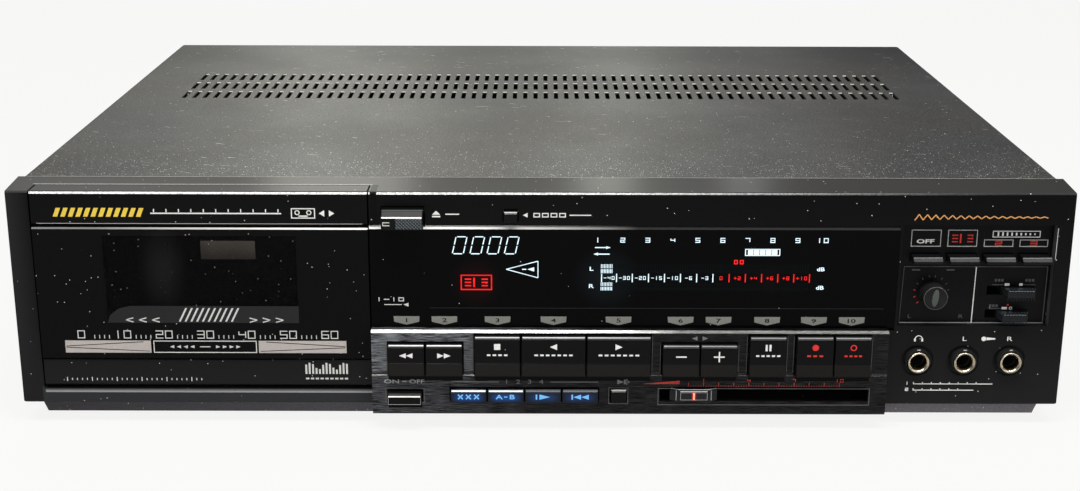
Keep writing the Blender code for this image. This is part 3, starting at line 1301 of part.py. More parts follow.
def head_carriage():
    bm = boxes(((DOOR_MIDDLE - CARRIAGE_HALF, CARRIAGE_FRONT, CARRIAGE_LOW),
                (DOOR_MIDDLE + CARRIAGE_HALF, CARRIAGE_REAR, CARRIAGE_TOP)))
    piece = part("head_carriage", bm, finish("head_block_steel", "#8d8e90", 0.3, 1.0),
                 origin=(DOOR_MIDDLE, CARRIAGE_FRONT, CARRIAGE_LOW))
    front = back(HEAD_FRONT)
    rear = CARRIAGE_FRONT + CARRIAGE_SHEET / 2
    low = HEAD_TOP - HEAD_HEIGHT
    bm = bmesh.new()
    prism(bm, [(DOOR_MIDDLE - HEAD_HALF, low), (DOOR_MIDDLE + HEAD_HALF, low),
               (DOOR_MIDDLE + HEAD_HALF, HEAD_TOP - HEAD_CROWN),
               (DOOR_MIDDLE + HEAD_HALF - HEAD_CROWN, HEAD_TOP),
               (DOOR_MIDDLE - HEAD_HALF + HEAD_CROWN, HEAD_TOP),
               (DOOR_MIDDLE - HEAD_HALF, HEAD_TOP - HEAD_CROWN)], "y", front, rear)
    erase_low = HEAD_TOP - ERASE_HEIGHT
    for sign in (-1, 1):
        x = DOOR_MIDDLE + sign * ERASE_OFFSET
        box(bm, (x - ERASE_HALF, front, erase_low), (x + ERASE_HALF, rear, HEAD_TOP))
    join(piece, "heads", bm)
    bm = bmesh.new()
    shoulder = back(ROLLER_REAR) + FIT_GAP
    for x in CAPSTANS.values():
        turned(bm, [(0, back(ROLLER_PIN_TIP)), (ROLLER_PIN_RADIUS, back(ROLLER_PIN_TIP)),
                    (ROLLER_PIN_RADIUS, shoulder), (ROLLER_SHOULDER_RADIUS, shoulder),
                    (ROLLER_SHOULDER_RADIUS, rear), (0, rear)], "y", (x, 0, ROLLER_Z), TINY_STEPS)
    join(piece, "roller_pins", bm)
    return piece


def pinch_rollers():
    material = finish("roller_rubber", "#1a1a1a", 0.7)
    front = back(ROLLER_FRONT)
    rear = back(ROLLER_REAR)
    for side, x in CAPSTANS.items():
        bm = bmesh.new()
        turned(bm, [(ROLLER_BORE, rear), (ROLLER_RADIUS, rear), (ROLLER_RADIUS, front),
                    (ROLLER_BORE, front)], "y", (x, 0, ROLLER_Z), ROUND_STEPS)
        part(f"pinch_roller_{side}", bm, material, origin=(x, front, ROLLER_Z), smooth=True)


# Boards and the power supply
FRONT_BOARD_BACK = 0.017
TUBE_FRONT = 0.007
TUBE_MARGIN = 0.009
TUBE_LEFT = 0.026
SWITCH_CAP = 0.002
SWITCH_CAP_HALF = 0.003
TRANSFORMER_SIDE_INSET = 0.025
TRANSFORMER_REAR_GAP = 0.03
CORE_WIDTH = 0.066
CORE_LENGTH = 0.024
CORE_HEIGHT = 0.055
COIL_INSET = 0.011
COIL_REACH = 0.012
CORE_FOOT = 0.008
CAPACITOR_RADIUS = 0.0065
CAPACITOR_HEIGHT = 0.025
HEAT_SINK_SHEET = 0.002
HEAT_SINK_LENGTH = 0.05
HEAT_SINK_HEIGHT = 0.03
CHIP_LENGTH = 0.018
CHIP_WIDTH = 0.007
CHIP_HEIGHT = 0.004
CHIP_ROWS_SHARE = 0.3
CHIP_COLUMN_SHARES = (0.3, 0.55, 0.8)
CAPACITOR_SHARES = ((0.2, 0.8), (0.35, 0.8))
HEAT_SINK_SHARE = 0.6


def front_board():
    front = back(FRONT_BOARD_BACK) - BOARD_SHEET
    left = MODULE_LEFT + WEB + FIT_GAP
    right = RIB_LEFT - FIT_GAP
    low = BEZEL_LOW + BEZEL_WALL + FIT_GAP
    bm = boxes(((left, front, low), (right, back(FRONT_BOARD_BACK), down(LENS_TOP_DROP))))
    piece = part("front_board", bm, finish("front_board_laminate", "#3c4a2c", 0.5))
    sunk = front + BOARD_SHEET / 2
    parts = [((MODULE_LEFT + TUBE_LEFT, back(TUBE_FRONT), MODULE_TOP + TUBE_MARGIN),
              (right - TUBE_LEFT, sunk, down(LENS_TOP_DROP + TUBE_MARGIN)))]
    for keys, height in key_columns():
        z = BAND_STEP + height / 2
        for _, x0, x1 in keys:
            x = (x0 + x1) / 2
            parts.append(((x - SWITCH_CAP_HALF, front - SWITCH_CAP, z - SWITCH_CAP_HALF),
                          (x + SWITCH_CAP_HALF, sunk, z + SWITCH_CAP_HALF)))
    join(piece, "tube_and_switches", boxes(*parts))
    return piece


def main_board():
    front = MAIN_BOARD_REAR - MAIN_BOARD_LENGTH
    right = MAIN_BOARD_LEFT + MAIN_BOARD_WIDTH
    top = MAIN_BOARD_LOW + BOARD_SHEET
    sunk = MAIN_BOARD_LOW + BOARD_SHEET / 2
    bm = boxes(((MAIN_BOARD_LEFT, front, MAIN_BOARD_LOW), (right, MAIN_BOARD_REAR, top)))
    piece = part("main_board", bm, finish("main_board_laminate", "#4a5a34", 0.5))
    blocks = []
    for share in CHIP_COLUMN_SHARES:
        x = MAIN_BOARD_LEFT + share * MAIN_BOARD_WIDTH
        y = front + CHIP_ROWS_SHARE * MAIN_BOARD_LENGTH
        blocks.append(((x, y, sunk), (x + CHIP_LENGTH, y + CHIP_WIDTH, top + CHIP_HEIGHT)))
    x = MAIN_BOARD_LEFT + HEAT_SINK_SHARE * MAIN_BOARD_WIDTH
    y = front + HEAT_SINK_SHARE * MAIN_BOARD_LENGTH
    blocks.append(((x, y, sunk), (x + HEAT_SINK_LENGTH, y + HEAT_SINK_SHEET, top + HEAT_SINK_HEIGHT)))
    bm = boxes(*blocks)
    for x_share, y_share in CAPACITOR_SHARES:
        rod(bm, "z", (MAIN_BOARD_LEFT + x_share * MAIN_BOARD_WIDTH, front + y_share * MAIN_BOARD_LENGTH, 0),
            CAPACITOR_RADIUS, sunk, top + CAPACITOR_HEIGHT, SMALL_STEPS)
    join(piece, "components", bm)
    return piece


def power_transformer():
    low = FLOOR_TOP + FIT_GAP
    x0 = TRANSFORMER_SIDE_INSET - REAR_HALF
    x1 = x0 + CORE_WIDTH
    y1 = REAR_FRONT - TRANSFORMER_REAR_GAP
    y0 = y1 - CORE_LENGTH
    top = low + CORE_HEIGHT
    bm = boxes(((x0, y0, low), (x1, y1, top)))
    piece = part("power_transformer", bm, finish("laminated_core", "#4f4a45", 0.5, 0.6))
    join(piece, "coil", boxes(((x0 + COIL_INSET, y0 - COIL_REACH, low + COIL_INSET),
                               (x1 - COIL_INSET, y1 + COIL_REACH, top - COIL_INSET))))
    join(piece, "mounting_feet", boxes(
        ((x0 - CORE_FOOT, y0, low), (x0 + CORE_FOOT, y1, low + PAN_SHEET)),
        ((x1 - CORE_FOOT, y0, low), (x1 + CORE_FOOT, y1, low + PAN_SHEET))))
    return piece


def build():
    clear_scene()
    base_pan()
    top_cover()
    rear_panel()
    phono_sockets()
    cord_bush()
    feet()
    front_bezel()
    display_window()
    control_fascia()
    transport_keys()
    buttons()
    record_level_slider()
    selector_panel()
    bar_keys()
    balance_knob()
    slide_switches()
    jacks()
    hinge = bpy.data.objects.new("door_hinge", None)
    hinge.location = (DOOR_MIDDLE, HINGE_Y, HINGE_Z)
    bpy.context.scene.collection.objects.link(hinge)
    hang_on(hinge, door_frame(), door_window(), cassette_holder())
    mechanism_plate()
    flywheel_bracket()
    capstan_motor()
    motor_pulley()
    flywheels()
    drive_belt()
    reel_spindles()
    head_carriage()
    pinch_rollers()
    front_board()
    main_board()
    power_transformer()


build()
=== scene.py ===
# %% [markdown]
# # Dressing a cassette deck
#
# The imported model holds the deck's shapes and joints. This lesson gives it the looks: a camera at the
# photographer's place, soft studio light, a finish for every surface, and the small things that are too fine
# for the solids, such as print, lit segments, knurling and screws.
#
# Everything is in metres. Measures below are written in millimetres and turned into metres by `MM`.

import json
import math

import bpy
import bmesh
from mathutils import Matrix, Vector
from mathutils.bvhtree import BVHTree


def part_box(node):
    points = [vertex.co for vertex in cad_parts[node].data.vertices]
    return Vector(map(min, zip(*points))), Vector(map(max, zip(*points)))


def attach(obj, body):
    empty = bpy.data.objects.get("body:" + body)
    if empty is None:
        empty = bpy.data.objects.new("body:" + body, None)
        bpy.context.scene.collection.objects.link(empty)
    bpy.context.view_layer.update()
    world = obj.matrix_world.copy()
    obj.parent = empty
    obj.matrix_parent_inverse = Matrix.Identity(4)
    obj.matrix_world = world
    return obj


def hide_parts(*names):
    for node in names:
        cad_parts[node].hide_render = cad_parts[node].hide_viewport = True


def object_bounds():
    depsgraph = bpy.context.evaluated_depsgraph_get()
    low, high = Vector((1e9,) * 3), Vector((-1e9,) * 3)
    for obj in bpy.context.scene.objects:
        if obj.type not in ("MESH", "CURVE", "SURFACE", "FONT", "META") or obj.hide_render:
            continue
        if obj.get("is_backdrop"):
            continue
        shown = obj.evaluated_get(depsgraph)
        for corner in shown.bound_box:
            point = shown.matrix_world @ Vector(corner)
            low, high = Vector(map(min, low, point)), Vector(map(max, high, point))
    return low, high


MM = 0.001
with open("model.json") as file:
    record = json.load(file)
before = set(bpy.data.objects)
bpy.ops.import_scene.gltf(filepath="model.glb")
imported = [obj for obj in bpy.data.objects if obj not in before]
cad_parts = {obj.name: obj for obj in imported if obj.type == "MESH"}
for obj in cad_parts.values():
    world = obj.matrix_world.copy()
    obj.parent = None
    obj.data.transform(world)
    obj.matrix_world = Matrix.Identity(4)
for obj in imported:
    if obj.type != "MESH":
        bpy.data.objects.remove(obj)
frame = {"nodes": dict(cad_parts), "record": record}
cad_box = [list(corner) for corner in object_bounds()]
nodes = frame["nodes"]
TOP = cad_box[1][2]
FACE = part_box("front_bezel")[0].y
print(len(nodes), "nodes, face at", round(FACE / MM, 2), "mm, top at", round(TOP / MM, 2), "mm")

# %% [markdown]
# ## The camera
#
# The photograph's perspective fits a lens of about 50 mm that stands 56 cm in front of the deck, a little above
# it, and looks down by 15 degrees. The picture is a crop from the lower part of what the lens saw, so the frame is
# shifted down. The matrix is built from three turns, in the order roll, tilt, pan, because one list of angles
# can't give a roll about the line of sight.

# %% Place the camera
IMAGE_WIDTH_PX = 1080
IMAGE_HEIGHT_PX = 491
FOCAL_PX = 1506.5
AXIS_ROW_PX = 164.1
SENSOR = 36
CAMERA_SIDE = -1.0 * MM
CAMERA_BEFORE_FACE = 561.4 * MM
CAMERA_ABOVE_TOP = 165.8 * MM
CAMERA_TILT = math.radians(15.38)
CAMERA_PAN = math.radians(0.06)
CAMERA_ROLL = math.radians(0.16)

lens = bpy.data.cameras.new("photographer")
lens.sensor_width = SENSOR
lens.lens = SENSOR * FOCAL_PX / IMAGE_WIDTH_PX
lens.shift_y = (AXIS_ROW_PX - IMAGE_HEIGHT_PX / 2) / IMAGE_WIDTH_PX
lens.clip_start = 0.01
camera = bpy.data.objects.new("photographer", lens)
bpy.context.scene.collection.objects.link(camera)
bpy.context.scene.camera = camera
eye = Vector((CAMERA_SIDE, FACE - CAMERA_BEFORE_FACE, TOP + CAMERA_ABOVE_TOP))
camera.matrix_world = (Matrix.Translation(eye) @ Matrix.Rotation(-CAMERA_PAN, 4, "Z")
                       @ Matrix.Rotation(math.pi / 2 - CAMERA_TILT, 4, "X")
                       @ Matrix.Rotation(CAMERA_ROLL, 4, "Z"))
print("lens", round(lens.lens, 1), "mm, shift", round(lens.shift_y, 4))

# %% [markdown]
# ## Small helpers for materials
#
# Colours are written as the sRGB hex values that a painter's eye would name, and one function turns them into
# the linear values that Blender's shaders work in. Another adds one node, sets it up and links it: an input is
# either a value or another node's output socket. The rest wrap the nodes that every finish below uses: soft
# noise, a ramp between two places, limits, and blends. Every texture takes its place from the object's own
# coordinates, so it stays put when a key is pressed or the door tilts.

# %% Colour and node helpers
def colour(code):
    """An sRGB hex colour as linear red, green, blue and alpha."""
    parts = [int(code[i:i + 2], 16) / 255 for i in (1, 3, 5)]
    return (*[p / 12.92 if p <= 0.04045 else ((p + 0.055) / 1.055) ** 2.4 for p in parts], 1.0)


def add_node(tree, kind, inputs=None, **settings):
    """Add a node with its settings, and fill its inputs from values or other sockets."""
    made = tree.nodes.new("ShaderNode" + kind)
    for name, value in settings.items():
        setattr(made, name, value)
    for name, value in (inputs or {}).items():
        if isinstance(value, bpy.types.NodeSocket):
            tree.links.new(value, made.inputs[name])
        else:
            made.inputs[name].default_value = value
    return made


def new_material(name, **values):
    """A material with a Principled shader whose sockets are set by name, spaces written as underscores."""
    material = bpy.data.materials.new(name)
    material.use_nodes = True
    shader = material.node_tree.nodes["Principled BSDF"]
    for socket, value in values.items():
        shader.inputs[socket.replace("_", " ")].default_value = value
    return material, material.node_tree, shader


def own_place(tree):
    """A point in the object's own coordinates."""
    return add_node(tree, "TexCoord").outputs["Object"]


def own_axes(tree, place):
    """The sockets of a point's X, Y and Z."""
    return add_node(tree, "SeparateXYZ", {"Vector": place}).outputs


def noise(tree, place, size, detail, **more):
    """Soft noise with lumps of about one size."""
    return add_node(tree, "TexNoise", {"Vector": place, "Scale": 1 / size, "Detail": detail, **more}).outputs["Fac"]


def ramp(tree, value, start, end, low=0.0, high=1.0, **settings):
    """Low up to where the value is at its start, high from its end on, and even between."""
    ends = {"Value": value, "From Min": start, "From Max": end, "To Min": low, "To Max": high}
    return add_node(tree, "MapRange", ends, **settings).outputs[0]


def calculate(tree, operation, first, second):
    return add_node(tree, "Math", {0: first, 1: second}, operation=operation).outputs[0]


def product(tree, first, *factors):
    """Masks multiplied, so that the result is 1 only where all of them are."""
    for factor in factors:
        first = calculate(tree, "MULTIPLY", first, factor)
    return first


def above(tree, value, limit):
    return calculate(tree, "GREATER_THAN", value, limit)


def below(tree, value, limit):
    return calculate(tree, "LESS_THAN", value, limit)


def within(tree, socket, low, high):
    """1 where a value lies between two limits, 0 elsewhere."""
    return add_node(tree, "Math", {0: socket, 1: (low + high) / 2, 2: (high - low) / 2},
                    operation="COMPARE").outputs[0]


def blend_colours(tree, mask, under, over):
    """Colour under where the mask is 0 and over where it is 1; either may be a socket."""
    return add_node(tree, "Mix", {0: mask, 6: under, 7: over}, data_type="RGBA").outputs[2]


def blend_numbers(tree, mask, under, over):
    return add_node(tree, "Mix", {0: mask, 2: under, 3: over}, data_type="FLOAT").outputs[0]


def blend_values(tree, mask, low, high):
    """A value from low to high as the mask goes from 0 to 1."""
    return ramp(tree, mask, 0.0, 1.0, low, high)


def dress(tree, shader, base, rough, height, strength, depth):
    """Link a colour, a roughness if there is one, and a bump whose depth is in millimetres."""
    tree.links.new(base, shader.inputs["Base Color"])
    if rough is not None:
        tree.links.new(rough, shader.inputs["Roughness"])
    bump = add_node(tree, "Bump", {"Height": height, "Strength": strength, "Distance": depth * MM})
    tree.links.new(bump.outputs[0], shader.inputs["Normal"])


print("mid grey is", round(colour("#808080")[0], 3), "in linear light")

# %% [markdown]
# ## Floor, room and light
#
# The deck stands on a plain pale floor in a white room. A floor that is only lit turns grey away from the
# lamps, so it is lit and also glows a little for the camera, which keeps it pale out to the horizon while the
# deck's shadow still shows. The light is a long soft strip overhead, which the chamfers mirror as ceiling tubes;
# most of the bright lines along them are painted highlights in the materials. Behind stand a window, a pane, a slit
# and a gap of light, which the cover mirrors as broad and narrow sheens. A strip in front is mirrored by the
# brushed fascia, whose sheen is also painted, and a weak lamp fills from the right.

# %% Build the studio
FLOOR_RADIUS = 4.0
FLOOR_GLOW = 0.9
ROOM_FILL = 0.33

floor_bm = bmesh.new()
bmesh.ops.create_circle(floor_bm, cap_ends=True, segments=96, radius=FLOOR_RADIUS)
floor_mesh = bpy.data.meshes.new("floor")
floor_bm.to_mesh(floor_mesh)
floor_bm.free()
floor = bpy.data.objects.new("floor", floor_mesh)
bpy.context.scene.collection.objects.link(floor)
floor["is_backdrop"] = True


def seen_directly(tree):
    """1 for what the camera sees straight or through glass, 0 for light that falls on other things."""
    rays = add_node(tree, "LightPath").outputs
    return calculate(tree, "MAXIMUM", rays["Is Camera Ray"], rays["Is Transmission Ray"])


paper = bpy.data.materials.new("studio_paper")
paper.use_nodes = True
tree = paper.node_tree
tree.nodes.clear()
share = product(tree, seen_directly(tree), FLOOR_GLOW)
matt = add_node(tree, "BsdfDiffuse", {"Color": colour("#c6c6c5")})
glow = add_node(tree, "Emission", {"Color": colour("#fcfcfb"), "Strength": 1.0})
both = add_node(tree, "MixShader", {0: share, 1: matt.outputs[0], 2: glow.outputs[0]})
add_node(tree, "OutputMaterial", {"Surface": both.outputs[0]})
floor_mesh.materials.append(paper)

room = bpy.data.worlds.new("white_room")
bpy.context.scene.world = room
room.use_nodes = True
tree = room.node_tree
tree.nodes.clear()
fill = add_node(tree, "Background", {"Color": colour("#f6f8ff"), "Strength": ROOM_FILL})
white = add_node(tree, "Background", {"Color": colour("#fcfcfc"), "Strength": 1.0})
both = add_node(tree, "MixShader", {0: seen_directly(tree), 1: fill.outputs[0], 2: white.outputs[0]})
add_node(tree, "OutputWorld", {"Surface": both.outputs[0]})

# Name, place, the point it faces, width and depth in metres, watts, colour
LAMPS = [("overhead_strip", (0.0, -0.50, 1.15), (0.0, -0.30, 0.0), 1.5, 0.22, 21, "#fffdf8"),
         ("rear_window", (-0.3, 1.9, 1.15), (0.0, 0.0, 0.05), 1.3, 0.8, 9.5, "#fdfdf2"),
         ("rear_pane", (-0.36, 1.9, 0.72), (0.0, 0.0, 0.05), 0.25, 0.4, 2.2, "#fdfdf2"),
         ("rear_slit", (0.12, 1.9, 0.62), (0.0, 0.0, 0.05), 0.09, 0.5, 1.0, "#fdfdf2"),
         ("rear_gap", (0.37, 1.9, 0.7), (0.0, 0.0, 0.05), 0.07, 0.3, 0.35, "#ffffff"),
         ("front_strip", (-0.17, -1.7, 0.3), (-0.05, -0.15, 0.03), 0.16, 0.5, 4, "#ffffff"),
         ("room_side", (1.3, -0.9, 0.9), (0.0, 0.0, 0.0), 0.9, 0.9, 5, "#fffaf2")]
for name, place, target, wide, deep, watts, tint in LAMPS:
    lamp = bpy.data.lights.new(name, "AREA")
    lamp.shape = "RECTANGLE"
    lamp.size = wide
    lamp.size_y = deep
    lamp.energy = watts
    lamp.color = colour(tint)[:3]
    holder = bpy.data.objects.new(name, lamp)
    holder.location = place
    holder.rotation_euler = (Vector(target) - Vector(place)).to_track_quat("-Z", "Y").to_euler()
    bpy.context.scene.collection.objects.link(holder)
bpy.context.scene.view_settings.view_transform = "Standard"
print(len(LAMPS), "lamps and a floor of", FLOOR_RADIUS, "m")

# %% [markdown]
# ## Dust, and painted light on edges
#
# Two things recur on the black parts. Dust lies as sparse pale specks: a Voronoi texture gives each cell a
# point, and only the nearest few tenths of a millimetre round some of the points turn pale. And edges get painted
# highlights: a mask from the surface normal finds every face that slopes up and forward by some angle, such as a
# chamfer of 45 degrees, or the small rounds above and below it.

# %% Dust and chamfer masks
CHAMFER = 45
LOWER_ROUND = 22.5
UPPER_ROUND = 67.5
FACING_SPREAD = 12


def dust(tree, place, spacing, size, share):
    """A mask of small specks, one to a cell of the given spacing, of which only a share shows."""
    cells = add_node(tree, "TexVoronoi", {"Vector": place, "Scale": 1 / spacing}, feature="F1")
    kept = add_node(tree, "SeparateColor", {"Color": cells.outputs["Color"]})
    near = below(tree, cells.outputs["Distance"], size / spacing)
    return product(tree, near, below(tree, kept.outputs["Red"], share))


def facing(tree, direction):
    """How squarely the true normal looks along a direction, from -1 to 1."""
    normal = add_node(tree, "NewGeometry").outputs["True Normal"]
    return add_node(tree, "VectorMath", {0: normal, 1: direction}, operation="DOT_PRODUCT").outputs["Value"]


def sloping(tree, degrees=CHAMFER):
    """1 on faces that look forward and up by about so many degrees, 0 elsewhere."""
    up = math.radians(degrees)
    return above(tree, facing(tree, (0.0, -math.cos(up), math.sin(up))), math.cos(math.radians(FACING_SPREAD)))


# %% [markdown]
# ## Black stoved paint on the cover
#
# The cover is folded steel with a satin black paint. Stoved paint dries with a fine orange peel, about half a
# millimetre from bump to bump, which breaks reflections up. The grain drifts between a warmer and a cooler grey
# over a hand's breadth, and some patches were wiped more often and shine a little more. Painted shade darkens
# the cover towards its rear. Fine scratches run mostly from side to side. Dust has settled on it, most of all
# behind the bezel. The folds that face up and forward carry a painted highlight, and the tops of the walls of
# the punched vents, which face the light, are painted pale. The base pan's grey apron is the same paint, with
# painted shade towards its left end.

# %% Cover paint
PEEL = 0.55 * MM
SLOT_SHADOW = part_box("top_cover")[1].z - 0.45 * MM
REAR_PAINTED_SHADE = (FACE + 190 * MM, FACE + 290 * MM)
PAN_PAINTED_SHADE = (120 * MM, -220 * MM)
SETTLED = (FACE + 110 * MM, FACE + 15 * MM)
BEHIND_BEZEL = (FACE + 60 * MM, FACE + 21 * MM)
SCRATCH_WIDTH = 0.7 * MM
SCRATCHES = ((0.0, 17 * MM, 0.71), (0.45, 8 * MM, 0.7))


def stoved_paint(name, shade, warm_grain, cool_grain, dusty, left_painted_shade=0.0):
    material, tree, shader = new_material(name, Specular_IOR_Level=0.1)
    place = own_place(tree)
    x, y, z = own_axes(tree, place)
    peel = noise(tree, place, PEEL, 2.0)
    tone = ramp(tree, noise(tree, place, 70 * MM, 4.0, Roughness=0.6), 0.35, 0.7)
    speckled = product(tree, ramp(tree, peel, 0.4, 0.75), blend_values(tree, tone, 0.7, 1.0))
    hue = ramp(tree, noise(tree, place, 110 * MM, 1.0), 0.38, 0.62)
    grain_shade = blend_colours(tree, hue, colour(warm_grain), colour(cool_grain))
    paint = blend_colours(tree, speckled, colour(shade), grain_shade)
    # Painted shade: the paint darkens towards the rear, as strongly as 1.8 times dusty, which also sets the dust.
    paint = blend_colours(tree, ramp(tree, y, *REAR_PAINTED_SHADE, high=1.8 * dusty), paint, colour("#050505"))
    # Painted shade towards the left end, as strong as the last argument.
    paint = blend_colours(tree, ramp(tree, x, *PAN_PAINTED_SHADE, high=left_painted_shade), paint, colour("#0b0b0c"))
    for turn, length, rarity in SCRATCHES:
        turned = add_node(tree, "Mapping", {"Vector": place, "Rotation": (0.0, 0.0, turn)})
        drawn = add_node(tree, "Mapping", {"Vector": turned.outputs[0],
                                           "Scale": (1 / length, 1 / SCRATCH_WIDTH, 1 / SCRATCH_WIDTH)})
        fine = noise(tree, drawn.outputs[0], 1.0, 4.0)
        lines = ramp(tree, fine, rarity, rarity + 0.04, high=1.5 * dusty)
        paint = blend_colours(tree, lines, paint, colour("#e0ded8"))
    # Painted highlight on the folds that face up and forward, broken up by the peel.
    fold = product(tree, sloping(tree), ramp(tree, peel, 0.4, 0.6))
    paint = blend_colours(tree, fold, paint, colour("#8f8e8a"))
    # Painted highlight: the tops of the walls that face forward are painted pale.
    walls = product(tree, above(tree, z, SLOT_SHADOW), sloping(tree, 0))
    paint = blend_colours(tree, walls, paint, colour("#eeece2"))
    settled = ramp(tree, y, *SETTLED, 0.1 * dusty, dusty)
    behind_bezel = ramp(tree, y, *BEHIND_BEZEL, high=dusty)
    for spacing, size, share in ((6 * MM, 0.28 * MM, 0.7 * dusty), (1.6 * MM, 0.19 * MM, settled),
                                 (1.0 * MM, 0.16 * MM, behind_bezel)):
        paint = blend_colours(tree, dust(tree, place, spacing, size, share), paint, colour("#dcd9d2"))
    dress(tree, shader, paint, blend_values(tree, tone, 0.47, 0.42), peel, 0.5, 0.03)
    return material


cover_paint = stoved_paint("painted_steel_stoved_black", "#11110f", "#5c5853", "#575a5a", 0.5)
rear_paint = stoved_paint("painted_steel_rear_black", "#1f1f1f", "#3d3b38", "#3a3c3c", 0.06)
pan_paint = stoved_paint("painted_steel_satin_grey", "#646166", "#827f84", "#817f84", 0.05, left_painted_shade=0.75)
print("paints:", cover_paint.name, rear_paint.name, pan_paint.name)

# %% [markdown]
# ## Moulded ABS for the bezel and the door
#
# The front is moulded ABS. The mould was spark-eroded, so faces have a very fine grain that shows as a satin
# sheen. The small rounds along the front edges carry painted highlights, thin bright lines that fade to the right
# and sparkle a little. Much of the colour is painted light and shade that follows the place: the face is painted
# darker towards the top and palest near its foot, where the floor's light falls, the left end and faces that look
# left are painted lighter, the rail under the door and its chamfer carry painted light, the edge of the notch
# behind the door has a painted highlight, and a black stripe of painted shade deepens the seam to the right of
# the door. The glossy material for the top faces has greys that are a painted reflection, lightest to the left.

# %% Bezel moulding
RAIL_ZONE = 16 * MM
RAIL_ENDS = (-200.5 * MM, -66.5 * MM)
TOP_ZONE = 10 * MM
FOLD_FADE = (20 * MM, 185 * MM)
NOTCH_EDGE = (FACE + 9.6 * MM, FACE + 10.8 * MM)
FOOT_PAINTED_LIGHT = (45 * MM, 12 * MM)
END_PAINTED_LIGHT = (-199 * MM, -207 * MM)
TOP_PAINTED_LIGHT = (220 * MM, -160 * MM)
SEAM = (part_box("door_frame")[1].x - 1.0 * MM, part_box("door_frame")[1].x + 1.6 * MM)


# glow holds a span along X and the colour of the painted light across it.
def moulded_abs(name, shade, roughness, dusty, gloss=0.07, top_light_and_shade="#050506", glow=(*END_PAINTED_LIGHT, "#1e1e1f")):
    material, tree, shader = new_material(name, Roughness=roughness, Specular_IOR_Level=gloss)
    place = own_place(tree)
    x, y, z = own_axes(tree, place)
    base = blend_colours(tree, noise(tree, place, 40 * MM, 2.0), colour(shade), colour("#161617"))
    # Painted light and shade by height: paler low down, where the floor's light falls, and the top colour at the
    # top.
    base = blend_colours(tree, ramp(tree, z, 0.0, TOP), base, colour(top_light_and_shade))
    # Painted light towards the end that glow gives.
    base = blend_colours(tree, ramp(tree, x, *glow[:2]), base, colour(glow[2]))
    # Painted light near the foot.
    base = blend_colours(tree, ramp(tree, z, *FOOT_PAINTED_LIGHT), base, colour("#1a1a1b"))
    # Painted light on the rail under the door, and a painted highlight on its chamfer; higher chamfers get a dimmer
    # one.
    low = below(tree, z, RAIL_ZONE)
    along_door = within(tree, x, *RAIL_ENDS)
    base = blend_colours(tree, product(tree, along_door, low), base, colour("#292b2d"))
    slope_highlight = blend_colours(tree, low, colour("#232324"), colour("#a3a3a1"))
    base = blend_colours(tree, sloping(tree), base, slope_highlight)
    # Painted highlight: the small rounds near the top turn white, fading to the right and sparkling.
    glints = ramp(tree, noise(tree, place, 0.7 * MM, 1.0), 0.35, 0.6, low=0.5)
    fading = ramp(tree, x, FOLD_FADE[1], FOLD_FADE[0])
    folded = product(tree, above(tree, z, TOP - TOP_ZONE), fading, glints)
    round_highlight = blend_colours(tree, folded, colour("#242425"), colour("#ffffff"))
    base = blend_colours(tree, sloping(tree, LOWER_ROUND), base, round_highlight)
    # Painted highlight on the edge of the notch behind the door.
    notch = product(tree, above(tree, z, TOP - 0.1 * MM), within(tree, y, *NOTCH_EDGE), along_door, glints)
    base = blend_colours(tree, notch, base, colour("#8c8c8a"))
    # Painted shade: a black stripe in the seam to the right of the door.
    seam = product(tree, within(tree, x, *SEAM), below(tree, y, NOTCH_EDGE[0]))
    base = blend_colours(tree, seam, base, colour("#030303"))
    # Painted light: faces that look left are lighter.
    base = blend_colours(tree, above(tree, facing(tree, (-1.0, 0.0, 0.0)), 0.9), base, colour("#3f3f40"))
    base = blend_colours(tree, dust(tree, place, 3.2 * MM, 0.19 * MM, dusty), base, colour("#d2cfc9"))
    dress(tree, shader, base, None, noise(tree, place, 0.35 * MM, 1.0), 0.08, 0.03)
    return material


bezel_abs = moulded_abs("moulded_abs_satin_black", "#0f0f10", 0.38, 0.6)
door_abs = moulded_abs("moulded_abs_door_black", "#0f0f10", 0.33, 0.9)
holder_abs = moulded_abs("moulded_abs_matt_black", "#1c1c1e", 0.55, 0.0)
panel_abs = moulded_abs("moulded_abs_selector_black", "#0c0c0e", 0.35, 0.3)
# The top faces' greys are a painted reflection, lightest to the left.
gloss_abs = moulded_abs("moulded_abs_polished_top", "#333332", 0.2, 0.5, gloss=0.008, top_light_and_shade="#292928",
                        glow=(*TOP_PAINTED_LIGHT, "#444443"))
print("mouldings:", bezel_abs.name, door_abs.name, holder_abs.name, panel_abs.name)

# %% [markdown]
# ## Polished acrylic
#
# The display lens is cast black acrylic with a mirror polish, so its colour is almost nothing and its
# reflections are sharp. Its chamfered edge is ground and stays matt, and carries a painted highlight that is
# brighter towards one end. The cassette window is the same acrylic, smoked: it is painted black inside except for a
# clear field in front of the cassette, where the light passes, dimmed. Round its lit parts the display lens has
# faint halos of painted glow, and the cassette window shows one faint pale patch, a painted highlight that glows.

# %% Lens acrylics
LENS_DUST_SPACING = 2.7 * MM
EDGE_ROUGHNESS = 0.7


